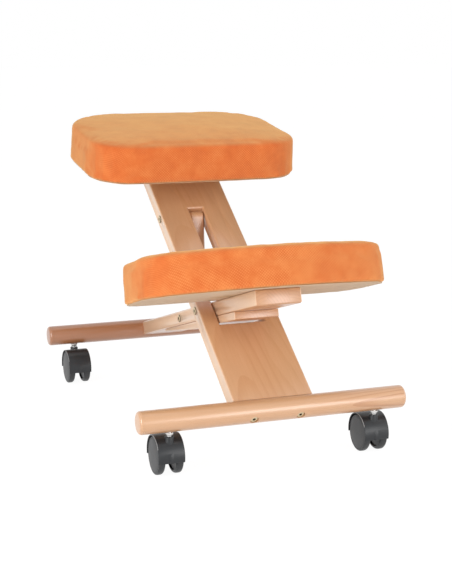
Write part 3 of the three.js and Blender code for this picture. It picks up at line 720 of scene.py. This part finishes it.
def screw(name, head_radius, head_height, shank_radius, length, socket_radius, socket_depth):
    """A bolt along Z with the underside of its head at height 0, and a hexagon socket in the head."""
    crown = head_height * CROWN_SHARE
    profile = [(0, -head_height), (head_radius - crown, -head_height)]
    for step in range(1, 4):
        angle = radians(90) * step / 4
        profile.append((head_radius - crown + crown * sin(angle), crown - head_height - crown * cos(angle)))
    profile += [
        (head_radius, crown - head_height), (head_radius, 0), (shank_radius, 0), (shank_radius, length),
        (0, length),
    ]
    bolt = spun(name, profile, 40)
    socket = cylinder("socket", socket_radius, -2 * head_height, socket_depth - head_height, 6)
    cut(bolt, socket)
    # Painted shade in the hexagon socket and round the head's rim, with a faint darkening elsewhere
    painted_shade = bolt.data.attributes.new("painted_shade", "FLOAT", "POINT")
    for vertex, spot in zip(bolt.data.vertices, painted_shade.data):
        rim_share = hypot(vertex.co.x, vertex.co.y) / head_radius
        sunk = vertex.co.z > socket_depth * 0.5 - head_height and rim_share < SHADED_SOCKET_SHARE
        spot.value = 1.0 if sunk or rim_share > SHADED_RIM_SHARE else FAINT_DARKENING
    return smoothed(bolt, radians(35))


def large_screw(name, length):
    return screw(
        name, LARGE_HEAD_RADIUS, LARGE_HEAD_HEIGHT, LARGE_SHANK_RADIUS, length, LARGE_SOCKET_RADIUS,
        LARGE_SOCKET_DEPTH,
    )


def small_screw(name, length):
    return screw(
        name, SMALL_HEAD_RADIUS, SMALL_HEAD_HEIGHT, SMALL_SHANK_RADIUS, length, SMALL_SOCKET_RADIUS,
        SMALL_SOCKET_DEPTH,
    )


def bolts(zinc):
    """Every bolt that shows, each in place of its solid."""

    def put(bolt, place, body, solid):
        finished(moved(bolt, place), body, zinc, "zinc_steel", solid)

    for node, body, at, width in (
        ("pivot", "main_frame", PIVOT, BOARD_WIDTH),
        ("strut_foot", "lower_frame", STRUT_FOOT, BEAM_WIDTH),
    ):
        seat = width / 2 + LARGE_HEAD_PROUD - LARGE_HEAD_HEIGHT
        left, right = [shift(side * seat, at.y, at.z) for side in SIDES.values()]
        put(large_screw(f"{node}_screw", 2 * seat - SHANK_GAP), left @ ALONG_X, body, f"{node}_bolt")
        put(large_screw(f"{node}_cap", NUT_CAP_LENGTH), right @ HALF_TURN @ ALONG_X, body, f"{node}_nut")
    seat = BOARD_WIDTH / 2 + LARGE_HEAD_PROUD - LARGE_HEAD_HEIGHT
    for label, side in SIDES.items():
        low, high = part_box(f"strut_head_bolt_{label}")
        bolt = large_screw(f"strut_head_screw_{label}", high.x - low.x - LARGE_HEAD_HEIGHT)
        turn = ALONG_X if side < 0 else HALF_TURN @ ALONG_X
        place = shift(side * seat, STRUT_HEAD.y, STRUT_HEAD.z) @ turn
        put(bolt, place, "main_frame", f"strut_head_bolt_{label}")
    for end, body, member, outward in (
        ("front", "main_frame", BOARD, 1),
        ("rear", "lower_frame", BEAM @ HALF_TURN, -1),
    ):
        for label, side in SIDES.items():
            across = outward * side * BAR_BOLT_SPREADS[end] / 2
            place = member @ shift(across, RECESS_FLOOR - BAR_HEAD_GAP, 0) @ ALONG_Y
            bolt = large_screw(f"{end}_bar_screw_{label}", BAR_SCREW_LENGTH)
            put(bolt, place, body, f"{end}_bar_bolt_{label}")
    for row, (setback, grip) in SEAT_BOLTS.items():
        for label, side in SIDES.items():
            place = SEAT @ shift(side * SEAT_BOLT_SPREAD / 2, -setback, -grip)
            bolt = small_screw(f"seat_screw_{row}_{label}", grip + PAD_BOARD_TOP - SMALL_TIP_GAP)
            put(bolt, place, "main_frame", f"seat_bolt_{row}_{label}")
    for row, setback in KNEE_BOLT_SETBACKS.items():
        place = BEAM @ shift(0, setback - BEAM_REACH, BEAM_THICKNESS / 2 - KNEE_BOLT_GRIP)
        bolt = small_screw(f"knee_screw_{row}", KNEE_BOLT_GRIP + PAD_BOARD_TOP - SMALL_TIP_GAP)
        put(bolt, place, "lower_frame", f"knee_bolt_{row}")


# Castors, modelled once with Z up the stem from the floor and Y towards the side that the wheels trail to


def castor_hood():
    """A half-round fender, a thin web and an axle boss, about the axle along Z."""
    ease = 0.25 * HOOD_LIP
    profile = [
        (HOOD_INNER, -HOOD_HALF), (HOOD_OUTER - HOOD_LIP, -HOOD_HALF),
        (HOOD_OUTER - ease, ease - HOOD_HALF), (HOOD_OUTER, HOOD_LIP - HOOD_HALF),
    ]
    profile += [(radius, -height) for radius, height in reversed(profile)]
    profile.append(profile[0])
    sweep = pi + 2 * HOOD_DROP
    fender = spun("castor_hood", profile, 60, sweep)
    for vertex in fender.data.vertices:
        radius = hypot(vertex.co.x, vertex.co.y)
        from_start = -atan2(vertex.co.y, vertex.co.x) % tau
        fullness = min(1, min(from_start, abs(sweep - from_start)) / HOOD_TAPER)
        thickness = (radius - HOOD_INNER) * (HOOD_TAPER_SHARE + (1 - HOOD_TAPER_SHARE) * fullness)
        thinned = HOOD_INNER - HOOD_DRAW_IN * (1 - fullness) + thickness
        vertex.co.x *= thinned / radius
        vertex.co.y *= thinned / radius
    only(fender)
    bpy.ops.object.mode_set(mode="EDIT")
    bpy.ops.mesh.select_all(action="DESELECT")
    bpy.ops.mesh.select_non_manifold()
    bpy.ops.mesh.edge_face_add()
    bpy.ops.mesh.select_all(action="SELECT")
    bpy.ops.mesh.normals_make_consistent(inside=False)
    bpy.ops.object.mode_set(mode="OBJECT")
    web = cylinder("web", HOOD_INNER + WEB_BITE, -WEB_HALF, WEB_HALF, 96)
    proud = WEB_HALF + AXLE_BOSS_PROUD
    boss = cylinder("boss", AXLE_BOSS_RADIUS, -proud, proud)
    return fender, web, boss


def hood_of_castor():
    """The hood in its place, with the stem's socket in front."""
    fender, web, boss = castor_hood()
    turn = shift(0, CASTOR_TRAIL, WHEEL_RADIUS) @ ALONG_X
    start = Matrix.Rotation(HOOD_DROP - radians(90), 4, "Z")
    moved(fender, turn @ start)
    moved(web, turn)
    moved(boss, turn)
    lower_edge = WHEEL_RADIUS - HOOD_OUTER * sin(HOOD_DROP)
    below = cylinder("below", 2 * HOOD_OUTER, -HOOD_OUTER, 0, 4)
    moved(below, shift(0, CASTOR_TRAIL, lower_edge))
    cut(web, below)
    socket = cylinder("stem_socket", SOCKET_RADIUS, WHEEL_RADIUS, SOCKET_TOP, 48)
    rounded(socket, 1 * MM, 3)
    hood = united(fender, web, boss, socket)
    rounded(hood, 0.5 * MM, 2, radians(50))
    # The fender's outer lip on both sides is marked for the painted highlight, a thin pale line in place of
    # light caught along the edge
    rim_highlight = hood.data.attributes.new("rim_highlight", "FLOAT", "POINT")
    for vertex, spot in zip(hood.data.vertices, rim_highlight.data):
        radius = hypot(vertex.co.y - CASTOR_TRAIL, vertex.co.z - WHEEL_RADIUS)
        at_side = abs(vertex.co.x) > HOOD_HALF - 0.9 * HOOD_LIP
        spot.value = float(at_side and radius > HOOD_OUTER - 0.8 * HOOD_LIP)
    return smoothed(hood, radians(35))


def castor_wheel():
    """One twin wheel on the right of the web: a domed disc with round shoulders and a hollow inside."""
    outer = CASTOR_HALF
    inner = outer - WHEEL_TREAD
    rim = WHEEL_RADIUS - WHEEL_SHOULDER
    dome = WHEEL_DOME
    side = outer - dome
    profile = [
        (0, outer), (0.35 * WHEEL_RADIUS, outer - 0.1 * dome), (0.7 * WHEEL_RADIUS, outer - 0.45 * dome),
        (rim - 1.2 * MM, outer - 0.95 * dome), (rim - 0.9 * MM, outer - 1.3 * dome), (rim - 0.4 * MM, side),
    ]
    for step in range(0, 7):
        angle = radians(90) * step / 6
        across = side - WHEEL_SHOULDER * (1 - cos(angle))
        profile.append((rim + WHEEL_SHOULDER * sin(angle), across))
    profile += [(WHEEL_RADIUS - inset * MM, inner + depth * MM) for inset, depth in WHEEL_BACK_ROUND]
    edge = WHEEL_HOLLOW_RADIUS
    hollow = inner + WHEEL_HOLLOW_DEPTH
    hub = WEB_HALF + WHEEL_HUB_GAP
    bore_end = outer - WHEEL_BORE_COVER
    profile += [
        (edge + WHEEL_HOLLOW_EASE, inner), (edge, inner + WHEEL_HOLLOW_EASE), (edge, hollow),
        (WHEEL_HUB_RADIUS, hollow), (WHEEL_HUB_RADIUS, hub), (WHEEL_BORE_RADIUS, hub),
        (WHEEL_BORE_RADIUS, bore_end), (0, bore_end),
    ]
    wheel = spun("castor_wheel", profile, 96)
    return smoothed(moved(wheel, shift(0, CASTOR_TRAIL, WHEEL_RADIUS) @ ALONG_X), radians(35))


def castor_stem():
    radius = STEM_RADIUS
    high = STEM_TOP + 20 * MM
    collar = STEM_TOP - 0.3 * MM
    low = collar - COLLAR_THICKNESS
    ease = 0.4 * MM
    profile = [
        (0, STEM_BOTTOM), (radius - ease, STEM_BOTTOM), (radius, STEM_BOTTOM + ease), (radius, low),
        (COLLAR_RADIUS - 4 * ease, low), (COLLAR_RADIUS - ease, low + 2 * ease),
        (COLLAR_RADIUS, low + 4 * ease), (COLLAR_RADIUS, collar - ease), (COLLAR_RADIUS - ease, collar),
        (radius, collar), (radius, high - ease), (radius - ease, high), (0, high),
    ]
    return smoothed(spun("castor_stem", profile, 48), radians(35))


def castors(steel):
    hood_black = nylon("black nylon hood", linear(33, 35, 38), 0.34, edged=True)
    wheel_black = nylon("black nylon wheel", linear(43, 44, 46), 0.36)
    hood, wheel, stem = hood_of_castor(), castor_wheel(), castor_stem()
    unturned = Matrix.Identity(4)
    for end, bar_body, turn in (("front", "main_frame", unturned), ("rear", "lower_frame", HALF_TURN)):
        for label, side in SIDES.items():
            corner = f"{end}_{label}"
            foot = middle(f"{corner}_castor_stem")
            place = shift(foot.x, foot.y, 0) @ turn
            cover = moved(copied(hood, f"{corner}_hood"), place)
            finished(cover, f"{corner}_castor", hood_black, "black_nylon", f"{corner}_castor_hood")
            pin = moved(copied(stem, f"{corner}_stem"), place)
            finished(pin, bar_body, steel, "plain_steel", f"{corner}_castor_stem")
            outward = side if end == "front" else -side
            for which, way in (("outer", outward), ("inner", -outward)):
                flip = unturned if way > 0 else HALF_TURN
                lay = place @ shift(0, CASTOR_TRAIL, 0) @ flip @ shift(0, -CASTOR_TRAIL, 0)
                disc = moved(copied(wheel, f"{corner}_{which}_disc"), lay)
                solid = f"{corner}_castor_{which}_wheel"
                finished(disc, f"{corner}_{which}_wheel", wheel_black, "black_nylon", solid)
    for pattern in (hood, wheel, stem):
        bpy.data.objects.remove(pattern)


# Padded rests

CORNER_STEPS = 14
EDGE_STEPS = 26


class Pad:
    """The shape of one padded rest, in its own frame: X across, Y back from the front corners' line."""

    def __init__(
        self, name, frame, body, width, depth, edge, crown, front_radius, rear_radius, front_bow, rear_bow
    ):
        self.name = name
        self.frame = frame
        self.body = body
        self.width = width
        self.depth = depth
        self.edge = edge
        self.crown = crown
        self.front_radius = front_radius
        self.rear_radius = rear_radius
        self.front_bow = front_bow
        self.rear_bow = rear_bow

    def outline(self):
        """Points round the pad, anticlockwise from above."""
        half = self.width / 2
        front, rear = self.front_radius, self.rear_radius
        corners = [
            (half - front, front, front, -90), (half - rear, self.depth - rear, rear, 0),
            (rear - half, self.depth - rear, rear, 90), (front - half, front, front, 180),
        ]
        arcs = []
        for x, y, radius, start in corners:
            angles = [radians(start + 90 * step / CORNER_STEPS) for step in range(CORNER_STEPS + 1)]
            arcs.append([(x + radius * cos(angle), y + radius * sin(angle)) for angle in angles])
        points = []
        for arc, following in zip(arcs, arcs[1:] + arcs[:1]):
            points += arc
            (x0, y0), (x1, y1) = arc[-1], following[0]
            for step in range(1, EDGE_STEPS):
                share = step / EDGE_STEPS
                points.append((x0 + (x1 - x0) * share, y0 + (y1 - y0) * share))
        return [self.bowed(x, y) for x, y in points]

    def bowed(self, x, y):
        middle_share = 1 - (x / (self.width / 2)) ** 2
        rear_share = y / self.depth
        return x, y + middle_share * (self.rear_bow * rear_share - self.front_bow * (1 - rear_share))


def drawn_in(points, distance):
    """The outline moved inwards by a distance."""
    moved_points = []
    for index, (x, y) in enumerate(points):
        px, py = points[index - 1]
        nx, ny = points[(index + 1) % len(points)]
        length = hypot(nx - px, ny - py)
        moved_points.append((x - distance * (ny - py) / length, y + distance * (nx - px) / length))
    return moved_points


def rows_of(form, rings):
    """The rings' points as rows of corners in a new form."""
    return [[form.verts.new(point) for point in ring] for ring in rings]


def piece_of(name, form):
    """The piece that a form makes; the form is used up."""
    mesh = bpy.data.meshes.new(name)
    form.normal_update()
    form.to_mesh(mesh)
    form.free()
    return linked(name, mesh)


def closed_mesh(name, rings):
    """A closed mesh from rings of points, capped at both ends."""
    form = bmesh.new()
    rows = rows_of(form, rings)
    for low, high in zip(rows, rows[1:]):
        count = len(low)
        for at in range(count):
            after = (at + 1) % count
            form.faces.new((low[at], low[after], high[after], high[at]))
    form.faces.new(list(reversed(rows[0])))
    form.faces.new(rows[-1])
    return piece_of(name, form)


TOP_ROUND = 8 * MM
UNDERSIDE = 0.5 * MM
SWELL_ROOM = 1.4 * MM
SWELL_CAP = 2 * MM
VOXEL = 3.6 * MM
SIDE_DRAWS = ((0.4, 3.4), (3, 0.9), (10, 1.2), (24, 1.4), (40, 1.4))
CROWN_SHARES = (0.93, 0.85, 0.75, 0.6, 0.45, 0.3, 0.15)
HELD_BELOW = 5 * MM
CLOTH_FRAMES = 20


def cushion_start(pad):
    """The foam's shape a little under size, ready to be blown up."""
    outline = pad.outline()
    top = pad.edge + pad.crown - SWELL_ROOM
    shoulder = pad.edge - TOP_ROUND - SWELL_ROOM
    centre_y = pad.depth / 2
    rings = []

    def ring(draw, height):
        rings.append([(x, y, height) for x, y in drawn_in(outline, draw)])

    for height, draw in SIDE_DRAWS:
        ring(draw * MM, UNDERSIDE + height * MM)
    for step in range(0, 7):
        angle = radians(15 * step)
        ring(SWELL_ROOM + TOP_ROUND * (1 - cos(angle)), shoulder + TOP_ROUND * sin(angle))
    rim = drawn_in(outline, SWELL_ROOM + TOP_ROUND)
    for share in CROWN_SHARES:
        height = top - pad.crown * share ** 2
        rings.append([(x * share, centre_y + (y - centre_y) * share, height) for x, y in rim])
    return closed_mesh(f"{pad.name}_cover", rings)


def blown_up(piece):
    """Swells a remeshed pad with air pressure, its underside held, and caps how far any point moves."""
    before = [vertex.co.copy() for vertex in piece.data.vertices]
    held = piece.vertex_groups.new(name="underside")
    held.add([index for index, place in enumerate(before) if place.z < HELD_BELOW], 1, "REPLACE")
    only(piece)
    cloth = piece.modifiers.new("Cloth", "CLOTH")
    settings = cloth.settings
    settings.quality = 4
    settings.mass = 0.3
    settings.tension_stiffness = 12
    settings.compression_stiffness = 12
    settings.bending_stiffness = 1.2
    settings.use_pressure = True
    settings.uniform_pressure_force = 4
    settings.effector_weights.gravity = 0
    settings.vertex_group_mass = held.name
    cloth.collision_settings.use_self_collision = False
    scene = bpy.context.scene
    for number in range(1, CLOTH_FRAMES + 1):
        scene.frame_set(number)
    bpy.ops.object.modifier_apply(modifier=cloth.name)
    for vertex, start in zip(piece.data.vertices, before):
        step = vertex.co - start
        if step.length > SWELL_CAP:
            vertex.co = start + step * (SWELL_CAP / step.length)
    piece.vertex_groups.clear()
    scene.frame_set(1)


SCALLOP = 22 * MM
SCALLOP_DEPTH = 1.1 * MM
SCALLOP_HEIGHT = 16 * MM
LOOSENESS = 0.5 * MM
PLEAT = 17 * MM
PLEAT_DEPTH = 0.55 * MM
PLEAT_LOW = 1.5 * MM
UNDERSIDE_LOW = 0.2 * MM
UNDERSIDE_PULL = 0.25 * MM
LOOSE_FROM = 10 * MM


def outward_at(pad, place):
    """The level direction out of the pad at a point, from its corners' middle line."""
    centre_y = pad.depth / 2
    reach_y = min(max(place.y, pad.front_radius), pad.depth - pad.rear_radius)
    reach_x = min(max(place.x, pad.front_radius - pad.width / 2), pad.width / 2 - pad.front_radius)
    out = Vector((place.x - reach_x, place.y - reach_y, 0))
    if out.length < 1 * MM:
        out = Vector((place.x, place.y - centre_y, 0))
    return out.normalized() if out.length else Vector((0, -1, 0))


def tacked_down(pad, piece):
    """Pulls the lower edge in between its staples, and leaves the cover a little loose elsewhere."""
    centre_y = pad.depth / 2
    starts = [(vertex, vertex.co.copy(), vertex.normal.copy()) for vertex in piece.data.vertices]
    for vertex, place, normal in starts:
        angle = atan2(place.y - centre_y, place.x)
        around = angle * (pad.width + pad.depth) / 4
        low_share = max(0, 1 - place.z / SCALLOP_HEIGHT) ** 2
        pull = noise.noise(Vector((around / SCALLOP, 3.7, 0))) + 0.6 * sin(around * tau / SCALLOP)
        loose = noise.noise(place * 28 + Vector((11, 4, 7))) + 0.5 * noise.noise(place * 60)
        side_share = min(1, max(0, place.z / LOOSE_FROM))
        shifted = place + normal * (LOOSENESS * loose * side_share)
        if place.z > PLEAT_LOW:
            out = outward_at(pad, place)
            corner_share = abs(2 * out.x * out.y)
            fall = max(0, 1 - place.z / pad.edge)
            pleat = sin(around * tau / PLEAT + 2 * noise.noise(place * 20)) * corner_share * fall
            shifted += out * (SCALLOP_DEPTH * pull * low_share + PLEAT_DEPTH * pleat)
        elif place.z > UNDERSIDE_LOW:
            shifted.z += UNDERSIDE_PULL * pull
        vertex.co = shifted


def unfolded(pad, piece):
    """Lays the cover flat as a UV map in metres: the top as seen from above, the sides folded outwards."""
    mesh = piece.data
    layer = mesh.uv_layers.new(name="cover")
    top = pad.edge
    flat = []
    for vertex in mesh.vertices:
        drop = max(0, top - vertex.co.z)
        out = outward_at(pad, vertex.co)
        flat.append((vertex.co.x + out.x * drop, vertex.co.y + out.y * drop))
    for loop in mesh.loops:
        layer.data[loop.index].uv = flat[loop.vertex_index]


def cushion(pad, material):
    piece = cushion_start(pad)
    with_modifier(piece, "REMESH", mode="VOXEL", voxel_size=VOXEL, use_smooth_shade=True)
    blown_up(piece)
    with_modifier(piece, "SMOOTH", factor=0.5, iterations=2)
    tacked_down(pad, piece)
    with_modifier(piece, "SUBSURF", levels=1, render_levels=1)
    unfolded(pad, piece)
    only(piece)
    bpy.ops.object.shade_smooth()
    moved(piece, pad.frame)
    finished(piece, pad.body, material, "upholstery", f"{pad.name}_cushion")


LINING_INSET = 4.5 * MM
LINING_LEVEL = 0.4 * MM
LINING_THICKNESS = 0.7 * MM
LINING_WANDER = 1.5 * MM
LINING_DROOP = 0.35 * MM
LINING_SHARES = (0.02, 0.4, 0.8, 0.97, 1)


def lining(pad, material):
    """The cloth stapled under the base board, its edge a little uneven between the staples."""
    outline = pad.outline()
    edge = []
    for index, (x, y) in enumerate(drawn_in(outline, LINING_INSET)):
        wander = noise.noise(Vector((index * 0.35, pad.width * 9, 0)))
        edge.append((x, y, wander * LINING_WANDER))
    centre_y = pad.depth / 2
    rings = []
    for share in LINING_SHARES:
        ring = []
        for x, y, wander in edge:
            px, py = x * share, centre_y + (y - centre_y) * share
            droop = LINING_DROOP * noise.noise(Vector((px * 18, py * 18, 2)))
            lift = wander if share == 1 else droop
            ring.append((px, py, LINING_LEVEL + lift * 0.5))
        rings.append(ring)
    form = bmesh.new()
    rows = rows_of(form, rings)
    for inner, outer in zip(rows, rows[1:]):
        for at in range(len(inner)):
            after = (at + 1) % len(inner)
            form.faces.new((inner[after], inner[at], outer[at], outer[after]))
    form.faces.new(list(reversed(rows[0])))
    piece = piece_of(f"{pad.name}_lining_cloth", form)
    with_modifier(piece, "SOLIDIFY", thickness=LINING_THICKNESS, offset=-1)
    only(piece)
    bpy.ops.object.shade_smooth()
    moved(piece, pad.frame)
    finished(piece, pad.body, material, "lining", f"{pad.name}_lining")
    xs = [x for x, _, _ in edge]
    ys = [y for _, y, _ in edge]
    width, length = max(xs) - min(xs), max(ys) - min(ys)
    pairs = zip(edge, edge[1:] + edge[:1])
    area = abs(sum(x0 * y1 - x1 * y0 for (x0, y0, _), (x1, y1, _) in pairs)) / 2


BASE_INSET = 9 * MM
BASE_LOW = 2.4 * MM
BASE_EASE = 0.6 * MM


def base_board(pad, material):
    """The plywood that the foam is glued on, inside the cover."""
    outline = drawn_in(pad.outline(), BASE_INSET)
    rings = [[(x, y, height) for x, y in outline] for height in (BASE_LOW, PAD_BOARD_TOP)]
    piece = closed_mesh(f"{pad.name}_base", rings)
    moved(rounded(piece, BASE_EASE, 2), pad.frame)
    finished(piece, pad.body, material, "plywood", f"{pad.name}_board")


def rests():
    beige = felt()
    ply = plywood()
    seat = Pad(
        "seat", SEAT_PAD, "main_frame", width=396 * MM, depth=283 * MM, edge=69.5 * MM, crown=8 * MM,
        front_radius=74 * MM, rear_radius=98 * MM, front_bow=3 * MM, rear_bow=5 * MM,
    )
    knee = Pad(
        "knee", KNEE_PAD, "lower_frame", width=428 * MM, depth=160 * MM, edge=68.7 * MM, crown=3 * MM,
        front_radius=40 * MM, rear_radius=52 * MM, front_bow=54 * MM, rear_bow=4 * MM,
    )
    # The knee rest's velour gets a lift of 0.06: painted light, so that it looks more brightly lit than the
    # seat
    for pad, lift in ((seat, 0), (knee, 0.06)):
        cushion(pad, velour(f"orange velour of the {pad.name} rest", lift))
        lining(pad, beige)
        base_board(pad, ply)


# Solids that keep their own shape


def kept_solids(steel):
    for name in nodes:
        hardware = "tee_nut" in name or "barrel_nut" in name or name.endswith("castor_axle")
        if hardware or name == "strut_sleeve":
            repainted(name, steel)


def repainted(name, material):
    solid = nodes[name]
    solid.data.materials.clear()
    solid.data.materials.append(material)


# Studio


FLOOR_SIZE = 30
FLOOR_WHITE = (0.94, 0.94, 0.94, 1)
FLOOR_GLOW = 1.1
FLOOR_GLOW_SHARE = 0.86
WORLD_LIGHT = 0.43
LAMP_AIM = Vector((0, 0, 0.3))
LAMPS = (
    ("left softbox", (-2.3, -1.2, 0.9), 1.6, 42),
    ("front softbox", (1.0, -2.6, 0.6), 1.4, 23),
    ("right softbox", (2.4, -0.9, 0.9), 1.4, 14),
    ("overhead softbox", (0.2, 0.2, 2.6), 1.8, 5),
)


def lamp(name, place, size, power):
    data = bpy.data.lights.new(name, "AREA")
    data.shape = "DISK"
    data.size = size
    data.energy = power
    toward = LAMP_AIM - Vector(place)
    turn = toward.to_track_quat("-Z", "Y").to_matrix().to_4x4()
    linked(name, data).matrix_world = Matrix.Translation(place) @ turn


def looked_at(tree):
    """1 for rays that come from the camera or from a shiny surface, 0 for those that only carry light."""
    rays = tree.nodes.new("ShaderNodeLightPath")
    either = tree.nodes.new("ShaderNodeMath")
    either.operation = "MAXIMUM"
    tree.links.new(rays.outputs["Is Camera Ray"], either.inputs[0])
    tree.links.new(rays.outputs["Is Glossy Ray"], either.inputs[1])
    return either.outputs[0]


def white_floor():
    """A floor that takes the chair's shadow and shows nearly white."""
    bpy.ops.object.select_all(action="DESELECT")
    bpy.ops.mesh.primitive_plane_add(size=FLOOR_SIZE, location=(0, 0, 0))
    floor = added("floor")
    material = bpy.data.materials.new("white floor")
    material.use_nodes = True
    tree = material.node_tree
    tree.nodes.clear()
    diffuse = tree.nodes.new("ShaderNodeBsdfDiffuse")
    diffuse.inputs["Color"].default_value = FLOOR_WHITE
    glow = tree.nodes.new("ShaderNodeEmission")
    glow.inputs["Strength"].default_value = FLOOR_GLOW
    share = tree.nodes.new("ShaderNodeMath")
    share.operation = "MULTIPLY"
    share.inputs[1].default_value = FLOOR_GLOW_SHARE
    mix = tree.nodes.new("ShaderNodeMixShader")
    output = tree.nodes.new("ShaderNodeOutputMaterial")
    tree.links.new(looked_at(tree), share.inputs[0])
    tree.links.new(share.outputs[0], mix.inputs[0])
    tree.links.new(diffuse.outputs[0], mix.inputs[1])
    tree.links.new(glow.outputs[0], mix.inputs[2])
    tree.links.new(mix.outputs[0], output.inputs["Surface"])
    floor.data.materials.append(material)


def world():
    """White to look at, and a dimmer light from all round."""
    surroundings = bpy.data.worlds.new("studio")
    bpy.context.scene.world = surroundings
    surroundings.use_nodes = True
    tree = surroundings.node_tree
    background = tree.nodes["Background"]
    background.inputs["Color"].default_value = (1, 1, 1, 1)
    strength = tree.nodes.new("ShaderNodeMapRange")
    strength.inputs["To Min"].default_value = WORLD_LIGHT
    strength.inputs["To Max"].default_value = 1.0
    tree.links.new(looked_at(tree), strength.inputs["Value"])
    tree.links.new(strength.outputs["Result"], background.inputs["Strength"])


def studio():
    white_floor()
    world()
    for name, place, size, power in LAMPS:
        lamp(name, place, size, power)
    bpy.context.scene.view_settings.view_transform = "Standard"


zinc_steel = metal("zinc-plated steel", linear(226, 205, 168), 0.32, shaded_recesses=True)
plain_steel = metal("plain steel", linear(238, 237, 235), 0.34)

aimed_camera()
studio()
wooden_frame()
bolts(zinc_steel)
castors(plain_steel)
rests()
kept_solids(plain_steel)
